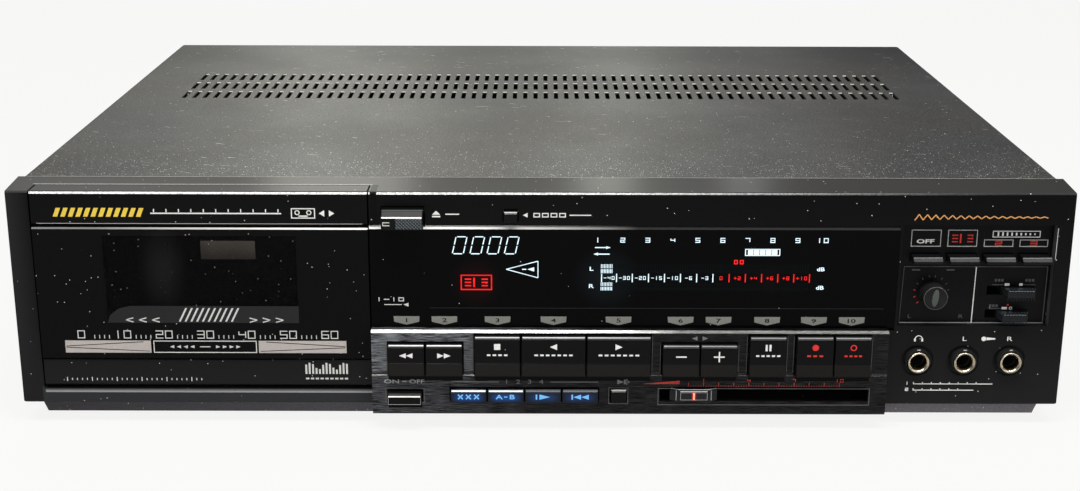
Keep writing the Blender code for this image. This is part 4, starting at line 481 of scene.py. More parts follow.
def cast_acrylic(name, shade, dark_end, bright_end, least, dusty, roughness=0.07):
    material, tree, shader = new_material(name, Specular_IOR_Level=0.04, IOR=1.49, Emission_Strength=1.0)
    place = own_place(tree)
    # Painted highlight on the chamfer, brighter towards one end and never below least.
    edge = sloping(tree)
    shine = ramp(tree, own_axes(tree, place)["X"], dark_end, bright_end, low=least)
    rim = blend_colours(tree, shine, colour("#101011"), colour("#e0e0de"))
    base = blend_colours(tree, edge, colour(shade), rim)
    specks = dust(tree, place, LENS_DUST_SPACING, 0.18 * MM, dusty)
    tree.links.new(blend_colours(tree, specks, base, colour("#c4c2bc")), shader.inputs["Base Color"])
    wiped = blend_values(tree, noise(tree, place, 25 * MM, 3.0), roughness, roughness + 0.08)
    tree.links.new(blend_numbers(tree, edge, wiped, EDGE_ROUGHNESS), shader.inputs["Roughness"])
    return material, tree, shader, place


def nearness(tree, place, middle, reach):
    """1 at a point, easing to 0 at its reach."""
    away = add_node(tree, "VectorMath", {0: place, 1: middle}, operation="DISTANCE").outputs["Value"]
    return ramp(tree, away, reach, 0.0, interpolation_type="SMOOTHSTEP")


display_acrylic, tree, shader, place = cast_acrylic("cast_acrylic_black_polished", "#040405", 38 * MM, -40 * MM,
                                                    least=0.02, dusty=0.1)
# Painted glow: faint halos of emission on the lens round its lit parts.
HALOS = (((26, 35), 15, "#0d1417"), ((-25.5, 37), 12, "#190404"), ((90, 35), 9, "#0b0202"))
spread = colour("#000000")
for (x, drop), radius, shade in HALOS:
    middle = (x * MM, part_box("display_window")[0].y, TOP - drop * MM)
    spread = blend_colours(tree, nearness(tree, place, middle, radius * MM), spread, colour(shade))
tree.links.new(spread, shader.inputs["Emission Color"])

window_acrylic, tree, shader, place = cast_acrylic("cast_acrylic_smoked_polished", "#0b0b0c",
                                                   -175 * MM, -80 * MM, least=0.2, dusty=0.8)
# A painted highlight: one faint pale patch that glows on the window.
(patch_x, patch_z), (patch_wide, patch_tall) = (-149 * MM, TOP - 32 * MM), (11 * MM, 22 * MM)
stretch = add_node(tree, "VectorMath", {0: place, 1: (1 / patch_wide, 0.0, 1 / patch_tall)}, operation="MULTIPLY")
near = nearness(tree, stretch.outputs[0], (patch_x / patch_wide, 0.0, patch_z / patch_tall), 1.0)
tree.links.new(blend_colours(tree, near, colour("#000000"), colour("#1d1c1b")), shader.inputs["Emission Color"])
CLEAR_FIELD = ((-172 * MM, TOP - 54.3 * MM), (-96 * MM, TOP - 18 * MM))
CLEARNESS = 0.45
(left, foot), (right, head) = CLEAR_FIELD
axes = own_axes(tree, place)
clear = product(tree, within(tree, axes["X"], left, right), within(tree, axes["Z"], foot, head), CLEARNESS)
tint = add_node(tree, "BsdfTransparent", {"Color": colour("#a6a4a2")})
both = add_node(tree, "MixShader", {0: clear, 1: shader.outputs[0], 2: tint.outputs[0]})
tree.links.new(both.outputs[0], tree.nodes["Material Output"].inputs["Surface"])
print("acrylics:", display_acrylic.name, window_acrylic.name)

# %% [markdown]
# ## Hairline aluminium on the control fascia
#
# The fascia is aluminium, brushed along its length and anodised black. Brushing leaves scratches a few
# hundredths of a millimetre wide and centimetres long. They are drawn coarser here, about a quarter of a
# millimetre, so that they show in the picture, by a noise that is stretched along X. A painted sheen makes the
# upper band brightest on the left, and the lower band at its left end. The edge of the step and the crest have
# painted glints of their own, and just below the foot of each group of keys, and of the power button, the fascia
# gets a painted shadow.

# %% Brushed fascia
STEP_HEIGHT = 25 * MM
GLINT = (22.9 * MM, 23.5 * MM)
SHADE_DEPTH = 3.0 * MM
HAIR_LENGTH = 7 * MM
HAIR_WIDTH = 0.27 * MM
CREST_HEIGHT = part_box("control_fascia")[1].z - 0.85 * MM
KEY_GROUPS = (("rewind_key", "fast_forward_key"), ("stop_key", "forward_play_key"),
              ("search_back_key", "search_forward_key"), ("pause_key", "pause_key"),
              ("record_key", "record_mute_key"), ("power_button", "power_button"))


def hairline(name, shade, light):
    material, tree, shader = new_material(name, Metallic=0.6, Specular_IOR_Level=0.15)
    place = own_place(tree)
    x, y, z = own_axes(tree, place)
    drawn = add_node(tree, "Mapping", {"Vector": place, "Scale": (1 / HAIR_LENGTH, 1 / HAIR_WIDTH, 1 / HAIR_WIDTH)})
    hairs = noise(tree, drawn.outputs[0], 1.0, 3.0, Roughness=0.7)
    lines = ramp(tree, hairs, 0.42, 0.62)
    upper = above(tree, z, STEP_HEIGHT)
    # Painted sheen: the upper band brightest on the left, the lower band at its left end.
    sheen = ramp(tree, x, 35 * MM, -50 * MM)
    lit = blend_colours(tree, product(tree, sheen, upper), colour(light), colour("#8a8d93"))
    lower = blend_colours(tree, ramp(tree, x, 0.0, -63 * MM), colour("#2c2c2e"), colour("#5f6166"))
    brushed = blend_colours(tree, lines, colour(shade), blend_colours(tree, upper, lower, lit))
    # Painted glints on the step's edge and on the crest.
    step_glint_colour = blend_colours(tree, sheen, colour("#3c3c3b"), colour("#a9a9a7"))
    bright = blend_colours(tree, within(tree, z, *GLINT), colour("#0d0d0e"), step_glint_colour)
    crest = above(tree, z, CREST_HEIGHT)
    crest_glint_colour = blend_colours(tree, ramp(tree, x, 55 * MM, 0.0), colour("#4e4e4d"), colour("#e4e4e2"))
    bright = blend_colours(tree, crest, bright, crest_glint_colour)
    bright = blend_colours(tree, calculate(tree, "SUBTRACT", upper, crest), bright, brushed)
    brushed = blend_colours(tree, sloping(tree), brushed, bright)
    # Painted shadow just below the foot of each group of keys.
    for first, last in KEY_GROUPS:
        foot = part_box(first)[0].z
        key_shadow = product(tree, within(tree, z, foot - SHADE_DEPTH, foot),
                       within(tree, x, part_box(first)[0].x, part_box(last)[1].x))
        brushed = blend_colours(tree, key_shadow, brushed, colour("#040404"))
    dress(tree, shader, brushed, blend_values(tree, lines, 0.28, 0.42), hairs, 0.9, 0.08)
    return material


fascia_metal = hairline("anodised_aluminium_hairline_black", "#0a0a0b", "#29292b")
print("fascia:", fascia_metal.name)

# %% [markdown]
# ## Keys and buttons
#
# The keys are moulded ABS with a glossy face. Below the crease the transport keys have a satin foot, so the
# finish changes at that height; the foot's lighter colour is a painted reflection of the floor. Each kind of key
# has three painted highlights for its edge: one for the chamfer, one for the round above it and, where it shows,
# one for the fold below. On the transport keys the chamfer's highlight is painted only at the crest, and weaker to
# the right. The knurl on the eject key is painted lighter and darker by the way each facet faces, and the
# programme buttons glow faintly round their lit legends by painted light, the far two less, with dimmer edges.

# %% Key mouldings
KEY_CREASE_DROP = 68.8 * MM
FOOT_PAINTED_REFLECTION = "#141312"
LEGEND_SHARE = 0.9
CREST = 0.6 * MM
CREST_FADE = (10 * MM, 60 * MM)
KNURL_SLANT = math.sqrt(0.5)
PROGRAM_BUTTONS = ("program_clear_button", "program_side_button", "program_start_button",
                   "program_reset_button")


def key_abs(name, shade, chamfer_highlight="#303031", rim_highlight="#bcbcba", fold_highlight=None, crease=None, far_highlight=None):
    material, tree, shader = new_material(name, Specular_IOR_Level=0.08)
    place = own_place(tree)
    x, y, z = own_axes(tree, place)
    base = colour(shade)
    rough = blend_values(tree, noise(tree, place, 9 * MM, 3.0), 0.14, 0.3)
    # The foot's rougher finish is real; its lighter colour is a painted reflection of the floor.
    if crease is not None:
        foot = below(tree, z, crease)
        base = blend_colours(tree, foot, base, colour(FOOT_PAINTED_REFLECTION))
        rough = blend_numbers(tree, foot, rough, 0.5)
    # Painted highlights on the chamfer, the round above it and the fold below; on transport keys only at the crest,
    # weaker to the right.
    edge = colour(chamfer_highlight)
    if far_highlight:
        edge = blend_colours(tree, ramp(tree, x, *CREST_FADE), edge, colour(far_highlight))
        crests = [within(tree, z, top - CREST, top)
                  for top in (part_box("stop_key")[1].z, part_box("rewind_key")[1].z)]
        edge = blend_colours(tree, calculate(tree, "ADD", *crests), base, edge)
    base = blend_colours(tree, sloping(tree), base, edge)
    base = blend_colours(tree, sloping(tree, UPPER_ROUND), base, colour(rim_highlight))
    if fold_highlight:
        base = blend_colours(tree, sloping(tree, LOWER_ROUND), base, colour(fold_highlight))
    base = blend_colours(tree, dust(tree, place, 5 * MM, 0.18 * MM, 0.3), base, colour("#a5a29d"))
    dress(tree, shader, base, rough, noise(tree, place, 0.4 * MM, 1.0), 0.05, 0.02)
    return material


def distance_from(tree, socket, middle):
    offset = calculate(tree, "SUBTRACT", socket, middle)
    return add_node(tree, "Math", {0: offset}, operation="ABSOLUTE").outputs[0]


def backlit_abs(name, painted_glow, chamfer_highlight):
    """Black caps in a row, each with a legend lit from behind, round which the plastic glows by painted light."""
    material = key_abs(name, "#181b20", chamfer_highlight=chamfer_highlight, rim_highlight="#5a5d60")
    tree = material.node_tree
    shader = tree.nodes["Principled BSDF"]
    corners = [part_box(node) for node in PROGRAM_BUTTONS]
    pitch = (corners[-1][0].x - corners[0][0].x) / (len(corners) - 1)
    middle = (corners[0][0] + corners[0][1]) / 2
    reach = LEGEND_SHARE * pitch / 2
    half_height = (corners[0][1].z - corners[0][0].z) / 2
    x, y, z = own_axes(tree, own_place(tree))
    along = add_node(tree, "Math", {0: x, 1: middle.x + pitch / 2, 2: middle.x - pitch / 2},
                     operation="WRAP").outputs[0]
    sideways = ramp(tree, distance_from(tree, along, middle.x), reach, reach / 2)
    upright = ramp(tree, distance_from(tree, z, middle.z - 0.1 * half_height), 0.8 * half_height, 0.2 * half_height)
    # Painted glow round each legend.
    tree.links.new(blend_colours(tree, product(tree, sideways, upright), colour("#000000"), colour(painted_glow)),
                   shader.inputs["Emission Color"])
    shader.inputs["Emission Strength"].default_value = 1.0
    return material


key_crease = TOP - KEY_CREASE_DROP
transport_abs = key_abs("moulded_abs_transport_keys", "#09090a", "#b9bbbc", "#202021", crease=key_crease,
                        far_highlight="#7c7d7e")
wind_abs = key_abs("moulded_abs_winding_keys", "#09090a", "#d6d8d9", "#202021", crease=key_crease,
                   far_highlight="#d6d8d9")
button_abs = key_abs("moulded_abs_black_buttons", "#0c0c0d", "#5a5a59")
power_abs = key_abs("moulded_abs_power_button", "#0c0c0d", "#0a0a0a", "#30302f", "#dededc")
knob_abs = key_abs("moulded_abs_knob", "#1a1b1b", "#4a4a4a", "#8a8a89")
# The pointer ridge's lighter grey is a painted highlight.
ridge_abs = key_abs("moulded_abs_knob_ridge", "#474b48", "#6a6b6a")
knurl_abs = key_abs("moulded_abs_knurl", "#34393b", "#c6cbcb", "#e2e6e6", "#70777a")
eject_abs = key_abs("moulded_abs_eject_key", "#0d0d0e", "#070808", "#4d5452", "#f0f0f2")
# Painted light and shade on the knurl: facets that face up and to the right are lighter.
tree = knurl_abs.node_tree
facet = ramp(tree, facing(tree, (KNURL_SLANT, 0.0, KNURL_SLANT)), -0.15, 0.25)
tree.links.new(blend_colours(tree, facet, colour("#0d0f10"), colour("#585e62")),
               tree.nodes["Principled BSDF"].inputs["Base Color"])
# The far two caps are a shaded copy: weaker painted glow and dimmer edges, as painted shade.
backlit_caps = backlit_abs("moulded_abs_backlit_caps", "#0f3c7c", "#e8eef4")
backlit_far = backlit_abs("moulded_abs_backlit_caps_shaded", "#0b2b58", "#5c6067")
bar_abs = key_abs("moulded_abs_bar_keys", "#101113", "#0a0b0d", "#878b8d")
slider_abs = key_abs("moulded_polycarbonate_smoked", "#1f2123", "#a0a2a3", "#d8dad9")
switch_abs = key_abs("moulded_abs_slate_switches", "#1c1f22", "#54595d", "#9c9fa1")
print("key finishes:", transport_abs.name, button_abs.name, backlit_caps.name)

# %% [markdown]
# ## Metals, rubber and the parts inside
# The sockets are brass, turned and plated with nickel that has warmed to champagne. Inside are zinc-plated
# steel, a turned brass pulley, an ivory acetal for the reel spindles, and green-brown circuit laminate. The
# front board shows through the fader's slot, and is painted black there as painted shade.

# %% Metals, rubber and laminate
def worked_metal(name, shade, stain, roughness, grain):
    """A bare or plated metal: colour patches, and a fine grain in roughness and bump."""
    material, tree, shader = new_material(name, Metallic=1.0)
    place = own_place(tree)
    fine = noise(tree, place, grain, 2.0)
    stained = blend_colours(tree, noise(tree, place, 12 * MM, 4.0), colour(shade), colour(stain))
    dress(tree, shader, stained, blend_values(tree, fine, roughness - 0.06, roughness + 0.1), fine, 0.06, 0.02)
    return material


def plain_polymer(name, shade, other, roughness, grain, shade_limits=()):
    """A rubber or plastic with mottled colour and a fine grain, black as painted shade inside given limits."""
    material, tree, shader = new_material(name, Roughness=roughness, Specular_IOR_Level=0.35)
    place = own_place(tree)
    mottled = blend_colours(tree, noise(tree, place, 6 * MM, 3.0), colour(shade), colour(other))
    if shade_limits:
        axes = own_axes(tree, place)
        inside = product(tree, *[within(tree, axes[axis], low, high) for axis, low, high in shade_limits])
        mottled = blend_colours(tree, inside, mottled, colour("#0a0a0b"))
    dress(tree, shader, mottled, None, noise(tree, place, grain, 2.0), 0.15, 0.05)
    return material


# Painted shade: the front board is black where it shows through the fader's slot.
SLOT_SHADE_LIMITS = (("X", 44 * MM, 135 * MM), ("Z", 9 * MM, 22 * MM))
champagne_nickel = worked_metal("plated_nickel_champagne", "#c6bda8", "#9c9180", 0.22, 0.25 * MM)
zinc = worked_metal("zinc_plated_steel", "#9fa29b", "#8a8c82", 0.34, 0.3 * MM)
brass = worked_metal("turned_brass", "#c8a24e", "#a8853a", 0.28, 0.2 * MM)
core_steel = worked_metal("varnished_laminations", "#4a4640", "#35322d", 0.45, 0.5 * MM)
rubber = plain_polymer("moulded_rubber_matt_black", "#141414", "#1e1e1d", 0.7, 0.4 * MM)
black_polymer = plain_polymer("moulded_polypropylene_black", "#151517", "#1d1d1f", 0.45, 0.3 * MM)
acetal = plain_polymer("moulded_acetal_ivory", "#dcdbcf", "#cbc9ba", 0.4, 0.3 * MM)
laminate = plain_polymer("printed_circuit_laminate", "#3d4a23", "#55602f", 0.5, 0.8 * MM)
front_laminate = plain_polymer("printed_circuit_laminate_front", "#3d4a23", "#55602f", 0.5, 0.8 * MM, SLOT_SHADE_LIMITS)
print("metals and polymers made")

# %% [markdown]
# ## Giving the nodes their finish
#
# Every node that stays in the picture gets one of the materials above in its first slot.

# %% Dress the nodes
FINISHES = {
    cover_paint: ("top_cover",),
    rear_paint: ("rear_panel",),
    pan_paint: ("base_pan",),
    bezel_abs: ("front_bezel",),
    door_abs: ("door_frame",),
    holder_abs: ("cassette_holder",),
    panel_abs: ("selector_panel",),
    display_acrylic: ("display_window",),
    window_acrylic: ("door_window",),
    fascia_metal: ("control_fascia",),
    wind_abs: ("rewind_key", "fast_forward_key"),
    transport_abs: ("stop_key", "reverse_play_key", "forward_play_key",
                    "search_back_key", "search_forward_key", "pause_key", "record_key", "record_mute_key"),
    power_abs: ("power_button",),
    button_abs: ("skip_button", "counter_reset_button", "balance_knob"),
    eject_abs: ("eject_key",),
    backlit_caps: PROGRAM_BUTTONS[:2],
    backlit_far: PROGRAM_BUTTONS[2:],
    bar_abs: ("reduction_off_key", "reduction_a_key", "reduction_b_key", "reduction_c_key"),
    slider_abs: ("record_level_slider",),
    switch_abs: ("upper_slide_switch", "lower_slide_switch"),
    champagne_nickel: ("phones_jack", "microphone_jack_left", "microphone_jack_right"),
    black_polymer: ("phono_sockets",),
    rubber: ("cord_bush", "foot_front_left", "foot_front_right", "foot_rear_left", "foot_rear_right",
             "drive_belt", "pinch_roller_left", "pinch_roller_right"),
    zinc: ("mechanism_plate", "flywheel_bracket", "capstan_motor", "flywheel_left", "flywheel_right",
           "head_carriage"),
    brass: ("motor_pulley",),
    acetal: ("reel_spindle_left", "reel_spindle_right"),
    laminate: ("main_board",),
    front_laminate: ("front_board",),
    core_steel: ("power_transformer",),
}
for material, names in FINISHES.items():
    for name in names:
        mesh = nodes[name].data
        mesh.materials.clear()
        mesh.materials.append(material)
undressed = set(nodes) - {name for names in FINISHES.values() for name in names}
print("dressed all nodes" if not undressed else f"left bare: {sorted(undressed)}")

# %% [markdown]
# ## Pieces, and a softer copy of a node
#
# A small function turns a bmesh into a piece that rides on its body. Another makes a refined copy of a node: it
# merges the loose triangles of the imported mesh into clean faces, rounds every sharp edge by a few tenths of a
# millimetre, and stands in for the node. Real mouldings never have knife edges, and the thin glints along them
# are painted highlights that the materials lay on these small rounds.

# %% Piece helpers
WELD = 0.002 * MM
SHARP = math.radians(25)
SMOOTH = math.radians(35)


def piece(name, bm, body, material, slot=None, smooth=False):
    mesh = bpy.data.meshes.new(name)
    bm.to_mesh(mesh)
    bm.free()
    mesh.materials.append(material)
    if smooth:
        mesh.shade_smooth()
        mesh.set_sharp_from_angle(angle=SMOOTH)
    made = bpy.data.objects.new(name, mesh)
    bpy.context.scene.collection.objects.link(made)
    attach(made, body)
    return made


record_slots = {row["node"]: row["material_slot"] for row in frame["record"]["subparts"]}
body_names = {node: body for body, members in frame["record"]["behaviour"]["bodies"].items()
              for node in members}


def merged(node):
    """A clean bmesh of a node: corners merged and flat areas made single faces."""
    bm = bmesh.new()
    bm.from_mesh(nodes[node].data)
    bmesh.ops.remove_doubles(bm, verts=bm.verts[:], dist=WELD)
    bmesh.ops.dissolve_limit(bm, angle_limit=math.radians(0.5), verts=bm.verts[:], edges=bm.edges[:])
    return bm


def round_edges(bm, width, segments=2, chosen=lambda edge: True):
    edges = [edge for edge in bm.edges if len(edge.link_faces) == 2 and chosen(edge)
             and edge.calc_face_angle(0) > SHARP]
    bmesh.ops.bevel(bm, geom=edges, offset=width, offset_type="OFFSET", segments=segments, profile=0.5,
                    affect="EDGES", clamp_overlap=True, material=-1)


def block(bm, middle, size):
    """A box of a given size round its middle."""
    bmesh.ops.create_cube(bm, size=1, matrix=Matrix.Translation(middle) @ Matrix.Diagonal((*size, 1)))


def thicken(bm, depth):
    """Give a flat sheet a thickness along Y, with its faces turned outward, and return what was added."""
    grown = bmesh.ops.extrude_face_region(bm, geom=bm.faces[:])["geom"]
    bmesh.ops.translate(bm, verts=[item for item in grown if isinstance(item, bmesh.types.BMVert)],
                        vec=(0, depth, 0))
    bmesh.ops.recalc_face_normals(bm, faces=bm.faces[:])
    return grown


def cut_nose(bm, depth):
    """Cut the front top corner off at 45 degrees."""
    front = min(vert.co.y for vert in bm.verts)
    top = max(vert.co.z for vert in bm.verts)
    bmesh.ops.bisect_plane(bm, geom=bm.verts[:] + bm.edges[:] + bm.faces[:], plane_co=(0, front, top - depth),
                           plane_no=(0, -1, 1), clear_outer=True)
    bmesh.ops.holes_fill(bm, edges=[edge for edge in bm.edges if len(edge.link_faces) == 1], sides=0)


def softened(node, width, segments=2, nose=None):
    """A copy of a node with rounded edges, which stands in for it."""
    bm = merged(node)
    if nose:
        cut_nose(bm, nose)
    round_edges(bm, width, segments)
    made = piece(f"{node}_rounded", bm, body_names[node], nodes[node].data.materials[0], record_slots[node])
    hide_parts(node)
    return made


shown = dict(nodes)
KEYS = FINISHES[wind_abs] + FINISHES[transport_abs]
for name in KEYS + FINISHES[switch_abs] + PROGRAM_BUTTONS:
    shown[name] = softened(name, 0.22 * MM)
for name in FINISHES[bar_abs]:
    shown[name] = softened(name, 0.15 * MM, nose=1.4 * MM)
for name in ("power_button", "skip_button", "counter_reset_button", "eject_key"):
    shown[name] = softened(name, 0.18 * MM)
shown["record_level_slider"] = softened("record_level_slider", 0.3 * MM)
LOWER_CORNER = 1.3 * MM
rail_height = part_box("door_frame")[0].z


def on_rail(edge):
    """The bezel's edge just below the door, which stays sharp and carries strips of painted highlight."""
    ends = [vert.co for vert in edge.verts]
    level = abs(ends[0].z - ends[1].z) < WELD
    return level and all(end.z < rail_height and end.z > rail_height - 4 * MM and end.y < FACE + 3 * MM
                         for end in ends)


def long_edge(edge):
    return edge.calc_length() > 6 * MM


def on_lower_corner(edge):
    """The edges that run back from the bezel's two lower corners."""
    first, second = [vert.co for vert in edge.verts]
    low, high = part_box("front_bezel")
    runs_back = abs(first.y - second.y) > 6 * MM and abs(first.z - second.z) < WELD
    return runs_back and first.z < low.z + 0.1 * MM and abs(first.x) > high.x - 2 * MM


def on_fold(edge):
    """The long edge between the front face and its top chamfer."""
    first, second = [vert.co for vert in edge.verts]
    return (edge.calc_length() > 20 * MM and abs(first.z - second.z) < WELD and first.z > TOP - TOP_ZONE
            and max(first.y, second.y) < FACE + 0.5 * MM)


for name in ("front_bezel", "door_frame"):
    bm = merged(name)
    round_edges(bm, 0.45 * MM, 2, on_fold)
    round_edges(bm, LOWER_CORNER, 4, on_lower_corner)
    round_edges(bm, 0.4 * MM, 2, lambda edge: long_edge(edge) and not on_rail(edge))
    shown[name] = piece(f"{name}_rounded", bm, body_names[name], nodes[name].data.materials[0], record_slots[name])
    mesh = shown[name].data
    mesh.materials.append(gloss_abs)
    for face in mesh.polygons:
        face.material_index = int(face.normal.z > 0.99 and face.center.z > TOP - MM)
    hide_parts(name)
    print(name, len(shown[name].data.polygons), "faces after rounding")
print("rounded", sum(shown[name] is not nodes[name] for name in nodes), "nodes")

# %% [markdown]
# ## Print
#
# Screen print stands a few hundredths of a millimetre above the moulding. Each mark is made flat, from grids,
# circles and letters, as if on a plane in front of the deck. A ray from the front then finds the surface behind
# each mark, and the mark is laid there and raised by the thickness of the ink. So print sits on what carries it,
# whatever its depth. Places are millimetres to the right of the middle and down from the top edge.

# %% Flat shapes
PRINT_RELIEF = 0.035 * MM
PRINT_SINK = 0.015 * MM


def on_front(x, drop):
    return Matrix.Translation((x * MM, 0, TOP - drop * MM)) @ Matrix.Rotation(math.pi / 2, 4, "X")


def sheared(lean):
    return Matrix(((1, lean, 0, 0), (0, 1, 0, 0), (0, 0, 1, 0), (0, 0, 0, 1)))


def patch(bm, x, drop, wide, tall, turn=0.0, lean=0.0):
    """A rectangle round a centre, turned by degrees or leaning by a share of its height."""
    place = (on_front(x, drop) @ Matrix.Rotation(math.radians(turn), 4, "Z") @ sheared(lean)
             @ Matrix.Diagonal((wide * MM, tall * MM, 1, 1)))
    return bmesh.ops.create_grid(bm, x_segments=1, y_segments=1, size=0.5, matrix=place)["verts"]


def span(bm, x0, x1, drop0, drop1, lean=0.0):
    """A rectangle between two sides and two drops."""
    return patch(bm, (x0 + x1) / 2, (drop0 + drop1) / 2, x1 - x0, drop1 - drop0, lean=lean)


def stroke(bm, start, end, line):
    """A straight line between two points."""
    (x0, d0), (x1, d1) = start, end
    length = math.hypot(x1 - x0, d1 - d0)
    patch(bm, (x0 + x1) / 2, (d0 + d1) / 2, length, line, turn=math.degrees(math.atan2(d0 - d1, x1 - x0)))


def hollow(bm, verts, line):
    """Keep only a rim of a flat shape."""
    face = verts[0].link_faces[0]
    bmesh.ops.inset_region(bm, faces=[face], thickness=line * MM, use_even_offset=True, use_boundary=True)
    bmesh.ops.delete(bm, geom=[face], context="FACES")


def outline(bm, x0, x1, drop0, drop1, line):
    hollow(bm, span(bm, x0, x1, drop0, drop1), line)


def disc(bm, x, drop, radius, steps=24):
    return bmesh.ops.create_circle(bm, cap_ends=True, segments=steps, radius=radius * MM,
                                   matrix=on_front(x, drop))["verts"]


def ring(bm, x, drop, radius, line, steps=24):
    hollow(bm, disc(bm, x, drop, radius, steps), line)


def shape(bm, points):
    """A filled outline through points."""
    return [bm.faces.new([bm.verts.new((x * MM, 0, TOP - drop * MM)) for x, drop in points]).verts[0]]


def arrow_head(bm, x, drop, wide, tall):
    """A triangle whose flat side is at x and whose point is wide further on, to the left if negative."""
    return shape(bm, [(x, drop - tall / 2), (x + wide, drop), (x, drop + tall / 2)])


def lettering(bm, words, x, drop, tall, stretch=1.0, weight=0.0, lean=0.0):
    """Figures or letters of a given height round a centre."""
    letters = bpy.data.curves.new("letters", "FONT")
    letters.body = words
    letters.offset = weight
    letters.resolution_u = 3
    holder = bpy.data.objects.new("letters", letters)
    mesh = bpy.data.meshes.new_from_object(holder)
    corners = [vert.co for vert in mesh.vertices]
    low = Vector((min(c.x for c in corners), min(c.y for c in corners), 0))
    high = Vector((max(c.x for c in corners), max(c.y for c in corners), 0))
    scale = tall * MM / (high.y - low.y)
    mesh.transform(on_front(x, drop) @ sheared(lean) @ Matrix.Diagonal((scale * stretch, scale, 1, 1))
                   @ Matrix.Translation(-(low + high) / 2))
    bm.from_mesh(mesh)
    bpy.data.objects.remove(holder)
    bpy.data.curves.remove(letters)
    bpy.data.meshes.remove(mesh)


SEGMENTS = {"0": "abcdef", "1": "bc", "2": "abged", "3": "abgcd", "4": "fgbc", "5": "afgcd", "6": "afgcde",
            "7": "abc", "8": "abcdefg", "9": "abcdfg", "-": "g", "+": "g"}


def figures(bm, words, x, drop, tall, wide, line):
    """Squared figures made of straight strokes, as on instrument panels."""
    pitch = wide + 2 * line
    for i, figure in enumerate(words):
        middle = x + (i - (len(words) - 1) / 2) * pitch
        lit = SEGMENTS[figure]
        ends = line if "a" in lit or "d" in lit else 0
        for name, side in (("a", -1), ("g", 0), ("d", 1)):
            if name in lit:
                patch(bm, middle, drop + side * (tall - line) / 2, wide, line)
        if figure == "+":
            for side in (-1, 1):
                patch(bm, middle, drop + side * (line + wide) / 4, line, (wide - line) / 2)
        for pair, side in (("fe", -1), ("bc", 1)):
            across = middle + (side * (wide - line) / 2 if figure != "1" else 0)
            if pair[0] in lit and pair[1] in lit and "g" not in lit:
                patch(bm, across, drop, line, tall - 2 * ends)
                continue
            for name, level in zip(pair, (-1, 1)):
                if name in lit:
                    patch(bm, across, drop + level * (tall - line) / 4, line, (tall - 3 * line) / 2)


def islands(bm):
    """Groups of joined vertices."""
    met = set()
    for first in bm.verts:
        if first in met:
            continue
        met.add(first)
        group = [first]
        for vert in group:
            near = [edge.other_vert(vert) for edge in vert.link_edges]
            fresh = [other for other in near if other not in met]
            met.update(fresh)
            group.extend(fresh)
        yield group


trees = {}


def surface(carriers, x, z):
    """How far back the frontmost carrier lies at a place."""
    found = []
    for item in carriers:
        if item.name not in trees:
            trees[item.name] = BVHTree.FromPolygons([v.co for v in item.data.vertices],
                                                    [p.vertices for p in item.data.polygons])
        hit = trees[item.name].ray_cast(Vector((x, -1.0, z)), Vector((0, 1, 0)))[0]
        if hit is not None:
            found.append(hit.y)
    return min(found)


def ink(name, bm, body, carriers, material, relief=PRINT_RELIEF, drape=False):
    """Lay flat shapes on the surfaces behind them, raise them and make them a piece.

    Each mark is laid at one depth, or where it should follow a slope each of its points finds its own."""
    bmesh.ops.remove_doubles(bm, verts=bm.verts[:], dist=WELD / 4)
    count = 0
    for group in islands(bm):
        middle = group[0].link_faces[0].calc_center_median()
        back = surface(carriers, middle.x, middle.z) + PRINT_SINK
        for vert in group:
            vert.co.y = surface(carriers, vert.co.x, vert.co.z) + PRINT_SINK if drape else back
        count += 1
    thicken(bm, -relief - PRINT_SINK)
    print(name, "has", count, "marks")
    return piece(name, bm, body, material)


# %% [markdown]
# ## Inks and lit phosphor
#
# Screen ink dries matt and not quite even. The display is a fluorescent tube: its segments are a phosphor
# powder that glows blue-white, seen through a grid of fine wires, and filters colour some of them red. Segments
# that are off still show faintly, by a weak painted glow.

# %% Inks and phosphors
THIN_INK = 0.72


def screen_ink(name, shade, roughness=0.55):
    material, tree, shader = new_material(name, Roughness=roughness, Specular_IOR_Level=0.2)
    patchy = noise(tree, own_place(tree), 0.5 * MM, 2.0)
    full = colour(shade)
    thin = (*[c * THIN_INK for c in full[:3]], 1.0)
    tree.links.new(blend_colours(tree, patchy, thin, full), shader.inputs["Base Color"])
    return material


def phosphor(name, shade, strength):
    material, tree, shader = new_material(name, Base_Color=colour("#050606"), Roughness=0.3,
                                          Specular_IOR_Level=0.0)
    wires = add_node(tree, "TexWave", {"Vector": own_place(tree), "Scale": 1 / (12 * MM), "Distortion": 0.0},
                     wave_type="BANDS", bands_direction="Z")
    shader.inputs["Emission Color"].default_value = colour(shade)
    tree.links.new(blend_values(tree, wires.outputs["Fac"], strength * 0.8, strength),
                   shader.inputs["Emission Strength"])
    return material


white_ink = screen_ink("screen_ink_white", "#e8e8e6")
grey_ink = screen_ink("screen_ink_grey", "#8d8e8f")
dim_ink = screen_ink("screen_ink_dim_grey", "#4a4b4d")
gold_ink = screen_ink("screen_ink_gold", "#e6c64a", 0.4)
copper_ink = screen_ink("screen_ink_copper", "#d99a5c", 0.4)
red_ink = screen_ink("screen_ink_red", "#d8332c")
